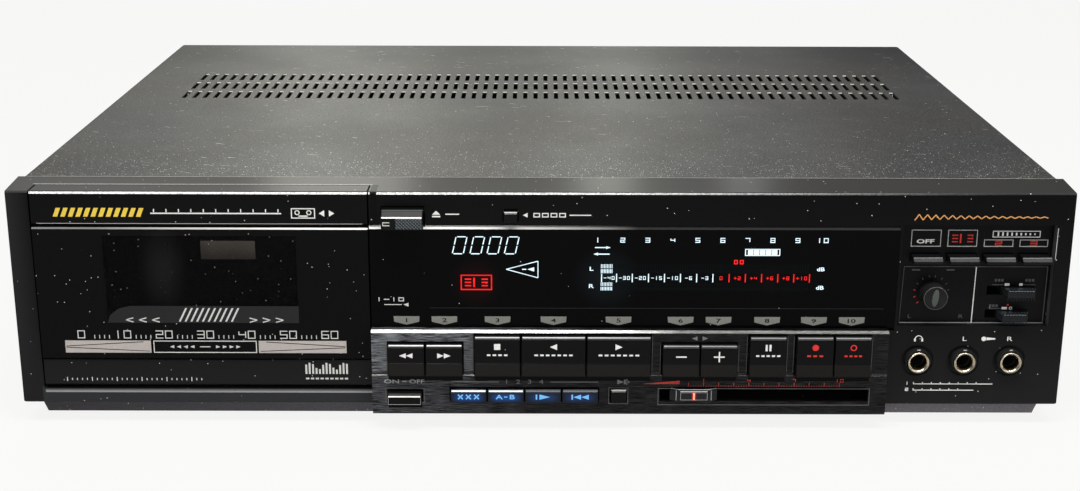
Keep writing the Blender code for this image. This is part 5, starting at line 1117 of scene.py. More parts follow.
# This grey ink draws painted highlights: the rail's edge, the wells' rims, the glints beside the keys and the knob's
# rim.
highlight_ink = screen_ink("painted_highlight_grey", "#5b5a58", 0.35)
shade_ink = screen_ink("screen_ink_smoke", "#1b1b1c")
black_ink = screen_ink("screen_ink_black", "#0a0a0a")
silver_ink = screen_ink("screen_ink_silver", "#b4aca9", 0.35)
label_pale = screen_ink("screen_ink_soft_white", "#a2a3a4")
label_ink = screen_ink("screen_ink_label_grey", "#7c7c78", 0.4)
frame_ink = screen_ink("screen_ink_frame_grey", "#adaeae")
pale_ink = screen_ink("screen_ink_pale_grey", "#cdcdcb")
dark_red_ink = screen_ink("screen_ink_dark_red", "#ba362e")
mid_ink = screen_ink("screen_ink_mid_grey", "#727374")
lit_white = phosphor("phosphor_blue_white", "#dff6ff", 1.5)
lit_red = phosphor("phosphor_red_filtered", "#ff2a2a", 1.3)
# Painted glow: segments that are off glow faintly.
unlit = phosphor("phosphor_unlit", "#1d2224", 0.3)
lit_blue = phosphor("backlight_pale_blue", "#7fc4ff", 1.2)
lit_index = phosphor("index_lamp_red", "#ff9a84", 1.9)
# Painted glow round the fader's index.
index_halo = phosphor("index_lamp_halo", "#d0241a", 0.8)
print("inks and phosphors made")

# %% [markdown]
# ## Print on the cassette door
#
# The smoked window carries a grey band with ten leaning bars, a scale, and two pale arrows that point away from
# a framed field. The scale is a plain tape scale in minutes. The door's top strip has plain leaning stripes and
# a pictogram of a cassette, and the lower strip a fine ruler and a small bar graph.

# %% Door print
LEANING_BARS = 10
BAR_PITCH = 2.3
FIRST_BAR = -142.0
door_faces = [nodes["door_window"], nodes["door_frame"]]

bm = bmesh.new()
shape(bm, [(-172, 54.3), (-96, 54.3), (-96, 47.2), (-163, 47.2), (-167.5, 48.4), (-171, 51.2)])
band = ink("door_band", bm, "door", door_faces, shade_ink)
door_faces.append(band)

bm = bmesh.new()
for i in range(LEANING_BARS):
    patch(bm, FIRST_BAR + i * BAR_PITCH, 50.9, 0.75, 5.7, lean=0.5)
for i in range(3):
    for side, x in ((-1, -158), (1, -109)):
        middle = x + side * (i - 1) * 5.2
        stroke(bm, (middle + side * 1.6, 53.1), (middle - side * 1.4, 52.2), 0.4)
        stroke(bm, (middle + side * 1.6, 53.1), (middle - side * 1.4, 54.0), 0.4)
scale_marks = 7
for i in range(scale_marks):
    x = -183.0 + i * 16.5
    figures(bm, str(i * 10), x, 59.3, 3.4, 3.0, 0.36)
    if i < scale_marks - 1:
        for tick in range(4):
            patch(bm, x + 5.3 + tick * 1.95, 60.3, 0.3, 1.5)
outline(bm, -154.5, -113.3, 61.9, 67.1, 0.35)
for i in range(4):
    arrow_head(bm, -138.2 - i * 2.7, 64.5, -1.7, 1.3)
    arrow_head(bm, -129.6 + i * 2.7, 64.5, 1.7, 1.3)
patch(bm, -133.9, 64.5, 4.2, 0.4)
for i in range(28):
    patch(bm, -190.2 + i * 2.0, 78.7, 0.35, 1.7 if i % 5 == 0 else 0.9)
for i in range(13):
    tall = 1.2 + 3.6 * abs(math.sin(0.9 + i * 0.62))
    patch(bm, -94.0 + i * 1.36, 76.3 - tall / 2, 0.75, tall)
for i in range(9):
    patch(bm, -93.6 + i * 1.95, 78.3, 1.3, 0.7)
ink("door_print_white", bm, "door", door_faces, pale_ink)

bm = bmesh.new()
span(bm, -189.7, -155.5, 61.9, 67.1)
span(bm, -112.5, -77.5, 61.9, 67.1)
ink("door_arrows", bm, "door", door_faces, silver_ink)
bm = bmesh.new()
for flat, tip in ((-155.5, -189.7), (-112.5, -77.5)):
    toward = math.copysign(1, tip - flat)
    stroke(bm, (tip - toward * 0.4, 64.3), (flat + toward * 3.0, 62.4), 0.28)
    stroke(bm, (tip - toward * 0.4, 64.8), (flat + toward * 0.6, 66.4), 0.28)
ink("door_arrow_lines", bm, "door", door_faces, black_ink, PRINT_RELIEF * 2)

bm = bmesh.new()
header_low = (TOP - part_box("door_window")[1].z) / MM - 1.6
patch(bm, -133.5, header_low, 127.5, 0.2)
ink("door_header_line", bm, "door", [nodes["door_frame"]], silver_ink)
bm = bmesh.new()
for i in range(12):
    patch(bm, -188.9 + i * 2.95, 8.55, 1.75, 3.6, lean=0.4)
ink("door_rally_stripes_gold", bm, "door", door_faces, gold_ink)
bm = bmesh.new()
patch(bm, -126.8, 8.9, 51, 0.5)
for i in range(11):
    patch(bm, -151.0 + i * 4.85, 7.8, 0.4, 1.3)
outline(bm, -97.5, -88.1, 6.7, 10.9, 0.4)
ring(bm, -95.1, 8.5, 1.0, 0.35)
ring(bm, -90.5, 8.5, 1.0, 0.35)
patch(bm, -92.8, 9.9, 3.6, 0.5)
for side in (-1, 1):
    arrow_head(bm, -83.6 + side * 0.9, 8.8, side * 2.1, 2.6)
ink("door_print_strip", bm, "door", door_faces, white_ink)

# %% [markdown]
# ## The glowing plate behind the window
#
# Through the clear field a pale plate shows, a thin frosted plate on the back of the window. It glows by
# painted light, stronger towards its top.

# %% Glowing plate behind the window
GLOW_PLATE = ((-134.0, -112.3), (20.5, 28.3))
GLOW_PLATE_SHEET = 0.6 * MM
frosted, tree, shader = new_material("frosted_polystyrene_diffuser", Roughness=0.6)
place = own_place(tree)
cloud = noise(tree, place, 9 * MM, 2.0)
tree.links.new(blend_colours(tree, cloud, colour("#6f6a63"), colour("#a49d92")),
               shader.inputs["Base Color"])
(x0, x1), (drop0, drop1) = GLOW_PLATE
# Painted glow, stronger towards the top.
rising = ramp(tree, own_axes(tree, place)["Z"], TOP - drop1 * MM, TOP - drop0 * MM, 0.5, 1.6)
tree.links.new(blend_colours(tree, cloud, colour("#6a655f"), colour("#8a847b")),
               shader.inputs["Emission Color"])
tree.links.new(rising, shader.inputs["Emission Strength"])
window_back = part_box("door_window")[1].y
bm = bmesh.new()
span(bm, x0, x1, drop0, drop1)
bmesh.ops.translate(bm, verts=bm.verts[:], vec=(0, window_back + GLOW_PLATE_SHEET, 0))
thicken(bm, -GLOW_PLATE_SHEET)
round_edges(bm, 0.12 * MM)
piece("tape_diffuser", bm, "door", frosted)
print("diffuser", round(x1 - x0, 1), "mm wide")

# %% [markdown]
# ## The cassette spring
#
# To the left a leaf spring in the holder catches the light. It is a strip that bows towards the window: a grid,
# bent by a half wave, then given a thickness.

# %% Leaf spring
SPRING = ((-161.5, -148.0), (23.0, 47.0))
SPRING_DEPTH = 5.5 * MM
SPRING_BOW = 3.5 * MM
SPRING_SHEET = 0.3 * MM
SPRING_STEPS = 24
satin_spring = worked_metal("rolled_spring_steel_blued", "#77757a", "#5c5a60", 0.3, 0.4 * MM)
(x0, x1), (drop0, drop1) = SPRING
bm = bmesh.new()
bmesh.ops.create_grid(bm, x_segments=4, y_segments=SPRING_STEPS, size=0.5,
                      matrix=on_front((x0 + x1) / 2, (drop0 + drop1) / 2)
                      @ Matrix.Diagonal(((x1 - x0) * MM, (drop1 - drop0) * MM, 1, 1)))
for vert in bm.verts:
    along = ((TOP - vert.co.z) / MM - drop0) / (drop1 - drop0)
    vert.co.y = window_back + SPRING_DEPTH - SPRING_BOW * math.sin(math.pi * along)
thicken(bm, SPRING_SHEET)
piece("cassette_spring", bm, "door", satin_spring, smooth=True)
print("spring bows", round(SPRING_BOW / MM, 1), "mm")

# %% [markdown]
# ## Print on the bezel
#
# Beside the eject key is the usual eject sign, and beside the reset button a row of noughts. The heading over
# the noise-reduction keys is a wave that dies away. Over the sockets stand signs for headphones and microphone.
# Two strips of painted highlight follow the sharp edge under the door, where the light would catch it.

# %% Bezel print
bezel_faces = [nodes["front_bezel"]]
bm = bmesh.new()
shape(bm, [(-42.5, 9.2), (-40.9, 7.6), (-39.3, 9.2)])
patch(bm, -40.9, 9.95, 3.2, 0.6)
patch(bm, -34.6, 9.0, 5.4, 0.45)
arrow_head(bm, -5.2, 9.3, -1.8, 1.9)
figures(bm, "0000", 3.4, 9.3, 1.8, 2.6, 0.38)
patch(bm, 15.4, 9.3, 8.5, 0.4)
PHONES_X, LEFT_X, RIGHT_X = [(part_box(name)[0].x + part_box(name)[1].x) / 2 / MM
                             for name in ("phones_jack", "microphone_jack_left", "microphone_jack_right")]
lettering(bm, "L", LEFT_X, 60.5, 1.8, stretch=1.5)
lettering(bm, "R", RIGHT_X - 0.4, 60.5, 1.8, stretch=1.5)
MIC_X = (LEFT_X + RIGHT_X) / 2
disc(bm, MIC_X - 1.6, 60.5, 0.95)
shape(bm, [(MIC_X - 0.5, 59.9), (MIC_X + 3.0, 60.25), (MIC_X + 3.0, 60.75), (MIC_X - 0.5, 61.1)])
HEADBAND = 1.45
for i in range(9):
    low, high = math.radians(180 * i / 9), math.radians(180 * (i + 1) / 9)
    stroke(bm, (PHONES_X - HEADBAND * math.cos(low), 60.7 - HEADBAND * math.sin(low)),
           (PHONES_X - HEADBAND * math.cos(high), 60.7 - HEADBAND * math.sin(high)), 0.35)
for side in (-1, 1):
    patch(bm, PHONES_X + side * HEADBAND, 61.1, 0.75, 1.2)
for row, (figure, end) in enumerate((("1", 182.0), ("2", 174.5))):
    drop = 79.7 + row * 2.7
    figures(bm, figure, 147.6, drop, 1.4, 1.3, 0.32)
    patch(bm, (150.0 + end) / 2, drop + 0.3, end - 150.0, 0.35)
    for i in range(int((end - 150.0) / 3.6)):
        patch(bm, 150.2 + i * 3.6, drop - 0.2, 0.35, 0.6)
ink("bezel_print_white", bm, "root", bezel_faces, white_ink)

WAVE_CRESTS = 16
bm = bmesh.new()
points = []
for i in range(2 * WAVE_CRESTS + 1):
    fade = 1.25 * math.exp(-1.6 * i / (2 * WAVE_CRESTS))
    points.append((146.0 + i * 1.63, 9.75 + fade * (-1) ** i))
for start, end in zip(points, points[1:]):
    stroke(bm, start, end, 0.42)
ink("bezel_wave_gold", bm, "root", bezel_faces, copper_ink)

# Painted highlight: two strips of ink stand for the light on the rail's edge.
RAIL_SPAN = (-199.3, -67.6)
RAIL_TOP_DROP = 83.05
for name, drop, tall, material in (("rail_edge_upper", RAIL_TOP_DROP, 0.6, highlight_ink),
                                   ("rail_edge_lower", RAIL_TOP_DROP + 0.6, 0.8, grey_ink)):
    bm = bmesh.new()
    span(bm, *RAIL_SPAN, drop, drop + tall)
    ink(name, bm, "root", bezel_faces, material)

# %% [markdown]
# ## The display
#
# A counter of four leaning noughts, track numbers, tape direction, and a two-channel level meter with its
# scale. Only the first blocks of each channel are lit, as with no signal. The meter's scale is in decibels, red
# from nought up.

# %% Lit display
display_faces = [nodes["display_window"]]
COUNTER_LEFT = (-34.2, -27.3, -20.6, -13.8)
COUNTER_LEAN = 0.22
TICKS = (24.0, 29.9, 36.1, 42.5, 48.8, 55.1, 61.5, 67.9, 74.3, 80.7, 87.1, 93.5, 99.8, 106.0)
DECIBELS = ("-40", "-30", "-20", "-15", "-10", "-6", "-3", "0", "+2", "+4", "+6", "+8", "+10")
FIRST_RED = 7
ZERO_TICK_DROP = 35.0

white_bm = bmesh.new()
red_bm = bmesh.new()
for left in COUNTER_LEFT:
    for drop in (18.1, 25.1):
        shift = COUNTER_LEAN * (21.55 - drop)
        patch(white_bm, left + 2.4 + shift, drop, 3.4, 0.4)
    for x in (left + 0.25, left + 4.55):
        for drop in (19.75, 23.35):
            shift = COUNTER_LEAN * (21.55 - drop)
            patch(white_bm, x + shift, drop, 0.42, 3.0, lean=COUNTER_LEAN)
for start, end in (((-13.6, 31.5), (-1.1, 28.1)), ((-1.1, 28.1), (-1.1, 35.0)), ((-1.1, 35.0), (-13.6, 31.5))):
    stroke(white_bm, start, end, 0.33)
arrow_head(white_bm, -2.6, 31.5, -2.6, 1.8)
patch(white_bm, -6.5, 31.5, 1.6, 0.4)
for i in range(10):
    figures(white_bm, str(i + 1), 22.3 + i * 9.8, 19.3, 2.0, 1.9, 0.34)
for drop, x, wide in ((22.4, 25.6, 1.8), (25.1, 22.5, -1.8)):
    patch(white_bm, 24.1, drop, 5.8, 0.42)
    arrow_head(white_bm, x, drop, wide, 1.2)
outline(white_bm, 80.2, 94.0, 22.8, 25.7, 0.35)
for i in range(5):
    patch(white_bm, 82.4 + i * 2.36, 24.25, 2.1, 2.0)
for label, drop in (("L", 31.2), ("R", 38.4)):
    lettering(white_bm, label, 20.0, drop, 1.6, stretch=1.5, weight=0.02)
for drop in (31.2, 38.9):
    lettering(white_bm, "dB", 110.3, drop, 1.6, stretch=1.3, weight=0.02)
for drop0, drop1 in ((29.3, 33.0), (36.9, 40.2)):
    middle = (drop0 + drop1) / 2
    for i in range(8):
        span(white_bm, 23.7 + i * 0.6, 24.0 + i * 0.6, drop0, middle - 0.2)
        span(white_bm, 23.7 + i * 0.6, 24.0 + i * 0.6, middle + 0.2, drop1)
for i, x in enumerate(TICKS):
    patch(white_bm if i <= FIRST_RED else red_bm, x, ZERO_TICK_DROP, 0.4, 3.5)
for i, (x0, x1) in enumerate(zip(TICKS, TICKS[1:])):
    figures(red_bm if i >= FIRST_RED else white_bm, DECIBELS[i], (x0 + x1) / 2, ZERO_TICK_DROP, 1.5, 1.1, 0.24)
outline(red_bm, -31.6, -19.2, 33.8, 40.2, 0.45)
figures(red_bm, "1", -26.3, 37.0, 3.8, 1.6, 0.7)
for side in (-1, 1):
    for level in (-1, 0, 1):
        patch(red_bm, -25.4 + side * 3.3, 37.0 + level * 1.35, 2.5, 0.55)
figures(red_bm, "00", 77.9, 28.3, 1.8, 1.5, 0.4)
dim_bm = bmesh.new()
for drop0, drop1 in ((29.3, 33.0), (36.9, 40.2)):
    middle = (drop0 + drop1) / 2
    for i in range(78):
        x = 29.1 + i * 0.985
        span(dim_bm, x, x + 0.5, drop0, middle - 0.15)
        span(dim_bm, x, x + 0.5, middle + 0.15, drop1)
ink("display_lit_white", white_bm, "root", display_faces, lit_white)
ink("display_lit_red", red_bm, "root", display_faces, lit_red)
ink("display_unlit", dim_bm, "root", display_faces, unlit)

# %% [markdown]
# ## Track labels over the keys
#
# Ten silver labels stand on the lens, one over each transport key, each with a point that shows which key picks
# that track. Their middles come from the keys' own boxes.

# %% Track labels
LABEL_HALF = 5.15
silver_bm = bmesh.new()
figure_bm = bmesh.new()
for i, name in enumerate(KEYS):
    low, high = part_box(name)
    x = (low.x + high.x) / 2 / MM
    shape(silver_bm, [(x - LABEL_HALF, 51.3), (x + LABEL_HALF, 51.3), (x + LABEL_HALF - 0.15, 53.6),
                      (x, 54.9), (x - LABEL_HALF + 0.15, 53.6)])
labels = ink("track_labels", silver_bm, "root", display_faces, label_ink)
for i, name in enumerate(KEYS):
    low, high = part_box(name)
    lettering(figure_bm, str(i + 1), (low.x + high.x) / 2 / MM, 52.9, 1.7, stretch=1.7, weight=0.01)
ink("track_figures", figure_bm, "root", [labels], black_ink)
bm = bmesh.new()
figures(bm, "1-10", -59.6, 44.2, 1.7, 2.2, 0.36)
arrow_head(bm, -52.4, 46.4, -2.0, 1.6)
patch(bm, -58.5, 46.4, 7.0, 0.3)
ink("lens_print_grey", bm, "root", display_faces, pale_ink)
bm = bmesh.new()
patch(bm, 46.0, 47.75, 180.0, 0.22)
ink("lens_lower_line", bm, "root", display_faces, shade_ink)

# %% [markdown]
# ## Signs on the keys
#
# Each key carries the usual sign for what it does, so no word is needed: double arrows to wind, a square to
# stop, single arrows to play either way, bars to pause, a disc to record and a ring to mute. Every sign rides on
# its own key.

# %% Key signs
DASH_TALL = 0.7
DASH_SHARE = 0.62


def dashes(bm, x, drop, wide, count):
    """A row of short bars, where the real keys have a word."""
    pitch = wide / count
    for i in range(count):
        patch(bm, x + (i - (count - 1) / 2) * pitch, drop, DASH_SHARE * pitch, DASH_TALL)


def middle_of(name):
    low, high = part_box(name)
    return (low.x + high.x) / 2 / MM, (TOP - high.z) / MM, (TOP - low.z) / MM


def sign(name, draw, material, line=None):
    x, top, low = middle_of(name)
    bm = bmesh.new()
    draw(bm, x, top)
    if line:
        dashes(bm, x, top + line[0], *line[1:])
    ink(f"{name}_sign", bm, body_names[name], [shown[name]], material)


def wind(bm, x, drop, toward):
    for shift in (-2.65, 0.0) if toward > 0 else (2.65, 0.0):
        arrow_head(bm, x + shift, drop, 2.65 * toward, 2.15)


sign("rewind_key", lambda bm, x, top: wind(bm, x, top + 4.35, -1), white_ink)
sign("fast_forward_key", lambda bm, x, top: wind(bm, x, top + 4.35, 1), white_ink)
sign("stop_key", lambda bm, x, top: patch(bm, x, top + 4.0, 2.5, 2.5), white_ink, (7.5, 9.0, 4))
sign("reverse_play_key", lambda bm, x, top: arrow_head(bm, x + 1.4, top + 4.0, -2.8, 2.5), white_ink, (7.5, 16.0, 7))
sign("forward_play_key", lambda bm, x, top: arrow_head(bm, x - 1.4, top + 4.0, 2.8, 2.5), white_ink, (7.5, 17.0, 7))


def minus(bm, x, top):
    patch(bm, x, top + 4.6, 4.2, 0.55)


def plus(bm, x, top):
    patch(bm, x, top + 4.6, 4.2, 0.55)
    for side in (-1, 1):
        patch(bm, x, top + 4.6 + side * 1.24, 0.55, 1.92)


def bars(bm, x, top):
    for side in (-1, 1):
        patch(bm, x + side * 0.75, top + 4.2, 0.8, 2.7)


sign("search_back_key", minus, white_ink)
sign("search_forward_key", plus, white_ink)
sign("pause_key", bars, white_ink, (7.6, 10.4, 5))
sign("record_key", lambda bm, x, top: disc(bm, x, top + 4.1, 1.3), red_ink, (7.6, 7.2, 3))
sign("record_mute_key", lambda bm, x, top: ring(bm, x, top + 4.1, 1.3, 0.45), red_ink, (7.6, 7.6, 4))


def equal_bars(bm, x, top):
    for drop in (4.4, 5.6):
        patch(bm, x - 6.1, top + drop, 2.7, 0.35)
    patch(bm, x - 7.3, top + 5.0, 0.3, 0.85)


sign("eject_key", equal_bars, pale_ink)


def cross(bm, x, drop):
    for turn in (45, -45):
        patch(bm, x, drop, 2.7, 0.5, turn=turn)


LEGEND_RISE = 2.75
legend = middle_of("program_clear_button")[2] - LEGEND_RISE


def clear_legend(bm, x, top):
    for shift in (-3.2, 0.0, 3.2):
        cross(bm, x + shift, legend)


def side_legend(bm, x, top):
    lettering(bm, "A", x - 2.6, legend, 1.9, stretch=1.5, weight=0.02)
    patch(bm, x, legend, 1.3, 0.45)
    lettering(bm, "B", x + 2.6, legend, 1.9, stretch=1.5, weight=0.02)


def start_legend(bm, x, top):
    patch(bm, x - 2.6, legend, 0.6, 2.1)
    arrow_head(bm, x - 1.4, legend, 4.2, 2.2)


def reset_legend(bm, x, top):
    arrow_head(bm, x + 3.4, legend, -3.0, 2.1)
    arrow_head(bm, x + 0.3, legend, -3.0, 2.1)
    patch(bm, x - 3.2, legend, 0.6, 2.1)


for name, draw in zip(PROGRAM_BUTTONS, (clear_legend, side_legend, start_legend, reset_legend)):
    sign(name, draw, lit_blue)

# %% [markdown]
# ## Print on the fascia
#
# Above the power button stand the plain words of an on-off switch. The record-level fader has a red scale from
# 1 to 10, and its knob a raised saddle with a lit index line, a painted glow round it, and painted highlights
# along the edges of its clear sides. Thin grey rims of painted highlight stand round the wells of the fader, the
# power button and the skip button, and painted glints at both ends of each group of keys.

# %% Fascia print and trim
fascia_faces = [nodes["control_fascia"]]
LEVEL_START = 59.1
LEVEL_STEP = 1.003
LEVEL_TICKS = 61
LONG_TICK = 6
TICK_BASE = 79.2
bm = bmesh.new()
lettering(bm, "ON", -59.4, 77.3, 1.7, stretch=1.7, weight=0.015)
patch(bm, -54.3, 77.3, 1.8, 0.4)
lettering(bm, "OFF", -49.3, 77.3, 1.7, stretch=1.5, weight=0.015)
ink("fascia_print_words", bm, "root", fascia_faces, label_pale)
bm = bmesh.new()
wind(bm, 33.3, 77.3, 1)
patch(bm, 34.4, 77.3, 0.5, 2.4)
patch(bm, -26.0, 77.4, 19.0, 0.3)
patch(bm, 13.5, 77.4, 19.0, 0.3)
for i in range(4):
    lettering(bm, str(i + 1), -13.5 + i * 4.6, 77.3, 1.7, stretch=1.5)
arrow_head(bm, 62.2, 59.0, -2.2, 1.8)
arrow_head(bm, 64.2, 59.0, 2.2, 1.8)
ink("fascia_print_grey", bm, "root", fascia_faces, mid_ink)

bm = bmesh.new()
shape(bm, [(40.8, 78.1), (55.5, 76.7), (55.5, 78.1)])
for i in range(LEVEL_TICKS):
    tall = 1.7 if i % LONG_TICK == 0 else 0.45
    patch(bm, LEVEL_START + i * LEVEL_STEP, TICK_BASE - tall / 2, 0.26, tall)
for figure, tick in (("1", 6), ("4", 24), ("7", 42), ("10", 60)):
    figures(bm, figure, LEVEL_START + tick * LEVEL_STEP, 76.6, 1.5, 1.3, 0.26)
ink("fascia_scale_red", bm, "root", fascia_faces, dark_red_ink)

(slider_low, slider_high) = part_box("record_level_slider")
index = (slider_low.x + slider_high.x) / 2 / MM
slider_middle = (slider_low + slider_high) / 2
SADDLE = 0.45 * MM
SADDLE_TALL = 4.0
SADDLE_WIDE = 11.4 * MM
bm = bmesh.new()
block(bm, (slider_middle.x, slider_low.y, slider_middle.z), (SADDLE_WIDE, 2 * SADDLE, SADDLE_TALL * MM))
round_edges(bm, 0.3 * MM, 2)
saddle = piece("slider_saddle", bm, "record_level_slider", slider_abs)
bm = bmesh.new()
patch(bm, index, (TOP - slider_middle.z) / MM, 0.7, 2.8)
ink("slider_index", bm, "record_level_slider", [saddle], lit_index, PRINT_RELIEF * 3)
# Painted glow round the index.
bm = bmesh.new()
patch(bm, index, (TOP - slider_middle.z) / MM, 1.7, 3.6)
ink("slider_index_halo", bm, "record_level_slider", [saddle], index_halo)
saddle_drops = ((TOP - slider_middle.z) / MM - SADDLE_TALL / 2, (TOP - slider_middle.z) / MM + SADDLE_TALL / 2)
bm = bmesh.new()
outline(bm, index - 5.4, index + 5.4, saddle_drops[0] + 0.35, saddle_drops[1] - 0.35, 0.2)
ink("slider_field", bm, "record_level_slider", [saddle], grey_ink)
# Painted highlights along the edges of the fader knob's clear sides.
bm = bmesh.new()
for side in (-1, 1):
    outline(bm, index + side * 7.5 - 1.5, index + side * 7.5 + 1.5, (TOP - slider_high.z) / MM + 0.4,
            (TOP - slider_low.z) / MM - 0.4, 0.28)
    patch(bm, index + side * 7.0, (TOP - slider_middle.z) / MM, 0.25, 4.2)
ink("slider_edge_highlights", bm, "record_level_slider", [shown["record_level_slider"]], label_pale, drape=True)

# Painted highlights: thin grey rims round the wells.
TRIM = 0.28
bm = bmesh.new()
outline(bm, -61.9, -46.2, 80.1, 86.6, TRIM)
outline(bm, 46.9, 131.6, 79.9, 87.2, TRIM)
outline(bm, 27.2, 35.1, 79.7, 86.8, TRIM)
ink("fascia_rims", bm, "root", fascia_faces, highlight_ink, 0.12 * MM)
power_low, power_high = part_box("power_button")
bm = bmesh.new()
outline(bm, power_low.x / MM + 0.3, power_high.x / MM - 0.3, (TOP - power_high.z) / MM + 1.5,
        (TOP - power_low.z) / MM - 0.25, 0.18)
ink("power_button_rim", bm, "power_button", [shown["power_button"]], frame_ink, PRINT_RELIEF / 2)
# Painted glints beside each group of keys.
GLINT_WIDTH = 0.16
bm = bmesh.new()
for first, last in KEY_GROUPS:
    low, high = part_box(first)
    for x in (low.x / MM - 0.75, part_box(last)[1].x / MM + 0.75):
        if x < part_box("control_fascia")[1].x / MM - 1:
            span(bm, x - GLINT_WIDTH / 2, x + GLINT_WIDTH / 2, (TOP - high.z) / MM + 0.6,
                 (TOP - low.z) / MM - 0.5)
ink("key_well_glints", bm, "root", fascia_faces, highlight_ink)

# %% [markdown]
# ## The selector panel
#
# Thin printed frames hold the four key legends, OFF and 1 to 3. Below them two framed fields hold the balance
# knob with its ring of marks and the slide switches with theirs. The field lines are raised ribs, and the light
# they catch is painted in their inks: a painted highlight on the middle rib, grey on the lowest, dim on the rest.

# %% Selector print
panel_faces = [nodes["selector_panel"]]
bm = bmesh.new()
for x0, x1, drop0 in ((146.0, 157.8, 15.9), (160.4, 172.1, 15.9), (174.8, 186.4, 19.9), (188.9, 200.1, 19.9)):
    outline(bm, x0, x1, drop0, 22.9, 0.3)
ink("selector_frames", bm, "root", panel_faces, frame_ink)
bm = bmesh.new()
lettering(bm, "OFF", 151.7, 20.7, 1.8, stretch=1.7, weight=0.03)
outline(bm, 178.0, 196.8, 16.3, 19.0, 0.28)
for i in range(9):
    patch(bm, 180.2 + i * 1.8, 17.65, 0.6, 1.7 - 0.13 * i)
ink("selector_print_white", bm, "root", panel_faces, white_ink)
bm = bmesh.new()
figures(bm, "1", 165.5, 19.5, 3.8, 1.6, 0.6)
for side in (-1, 1):
    for level in (-1, 0, 1):
        patch(bm, 166.3 + side * 3.0, 19.5 + level * 1.35, 2.3, 0.45)
figures(bm, "2", 180.6, 21.4, 2.0, 2.8, 0.36)
figures(bm, "3", 194.5, 21.4, 2.0, 2.8, 0.36)
knob_low, knob_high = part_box("balance_knob")
knob_x = (knob_low.x + knob_high.x) / 2 / MM
knob_drop = (TOP - (knob_low.z + knob_high.z) / 2) / MM
KNOB_MARKS = 6
KNOB_RING = 6.8
KNOB_STEP = 24
KNOB_RIGHT = 80
KNOB_LEFT = 100


def knob_marks(bm, turns):
    for degrees in turns:
        angle = math.radians(degrees)
        patch(bm, knob_x + KNOB_RING * math.cos(angle), knob_drop - KNOB_RING * math.sin(angle), 0.9, 0.3,
              turn=math.degrees(angle))


knob_marks(bm, [KNOB_LEFT + i * KNOB_STEP for i in range(KNOB_MARKS // 2, KNOB_MARKS)])
disc(bm, 186.4, 47.3, 0.4, 12)
ink("selector_print_red", bm, "root", panel_faces, red_ink)
bm = bmesh.new()
knob_marks(bm, [KNOB_RIGHT - i * KNOB_STEP for i in range(KNOB_MARKS)])
knob_marks(bm, [KNOB_LEFT + i * KNOB_STEP for i in range(KNOB_MARKS // 2)])
lettering(bm, "L", 147.5, 52.2, 1.5, stretch=1.5)
lettering(bm, "R", 168.0, 52.2, 1.5, stretch=1.5)
for x in (148.8, 162.5):
    patch(bm, x, 32.6, 3.2, 0.6)
for x0, x1, drop in ((179.4, 184.0, 38.6), (192.0, 196.6, 38.6), (179.0, 184.2, 48.7)):
    span(bm, x0, x1, drop, drop + 0.35)
for x0, drop in ((180.8, 36.4), (193.0, 36.4), (179.4, 47.2)):
    for i in range(3):
        patch(bm, x0 + i * 1.3, drop + 0.5, 0.9, 1.1)
ink("selector_print_dim", bm, "root", panel_faces, dim_ink)
bm = bmesh.new()
for x, drop, wide in ((185.4, 38.7, 1.9), (190.9, 38.7, 1.4), (185.1, 48.7, 2.1)):
    patch(bm, x, drop, wide, 1.0)
ring(bm, 187.6, 48.7, 0.65, 0.25, 12)
ink("selector_boxes_white", bm, "root", panel_faces, white_ink)

# Painted light: the ribs' inks differ by how each would catch the light.
RIB_HEIGHT = 0.2 * MM
for name, material, strokes in (
        ("selector_rib_bright", white_ink, (((172.6, 31.2), (172.3, 55.0), 0.32),)),
        ("selector_rib_low", grey_ink, (((143.4, 54.9), (201.0, 54.9), 0.35),)),
        ("selector_ribs_dim", dim_ink, (((144.0, 31.2), (200.9, 31.2), 0.22), ((144.0, 31.2), (143.4, 55.0), 0.2),
                                        ((200.9, 31.2), (200.8, 54.9), 0.3)))):
    bm = bmesh.new()
    for start, end, line in strokes:
        stroke(bm, start, end, line)
    ink(name, bm, "root", panel_faces, material, RIB_HEIGHT)
# Painted glint on the edge of the bezel's recess.
bm = bmesh.new()
stroke(bm, (202.5, 14.2), (202.4, 27.0), 0.3)
ink("recess_edge_glint", bm, "root", bezel_faces, frame_ink)

# %% [markdown]
# ## Ridges on the slide switches
#
# Each slide switch has fine upright ribs for the finger. A rib is a thin bar with rounded edges, set halfway
# into the front of its lever.

# %% Switch ridges
RIDGE_PITCH = 1.15 * MM
RIDGE_WIDTH = 0.35 * MM
RIDGE_LIFT = 0.14 * MM
for name in FINISHES[switch_abs]:
    low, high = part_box(name)
    bm = bmesh.new()
    count = int((high.x - low.x - MM) / RIDGE_PITCH)
    for i in range(count):
        x = (low.x + high.x) / 2 + (i - (count - 1) / 2) * RIDGE_PITCH
        front = surface([shown[name]], x, (low.z + high.z) / 2)
        block(bm, (x, front, (low.z + high.z) / 2), (RIDGE_WIDTH, 2 * RIDGE_LIFT, high.z - low.z - 0.9 * MM))
    round_edges(bm, 0.05 * MM, 1)
    piece(f"{name}_ridges", bm, name, switch_abs)
    print(name, "has", count, "ridges")

# %% [markdown]
# ## Turned pieces
#
# The sockets' collars, the balance knob and the feet are turned or moulded round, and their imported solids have
# few facets. Each is spun again from its profile with many steps and stands in for its node. A profile lists a
# radius and a depth, and the spin merges its ends. A black sleeve lines each socket's bore, and a black ring
# lies round its collar.

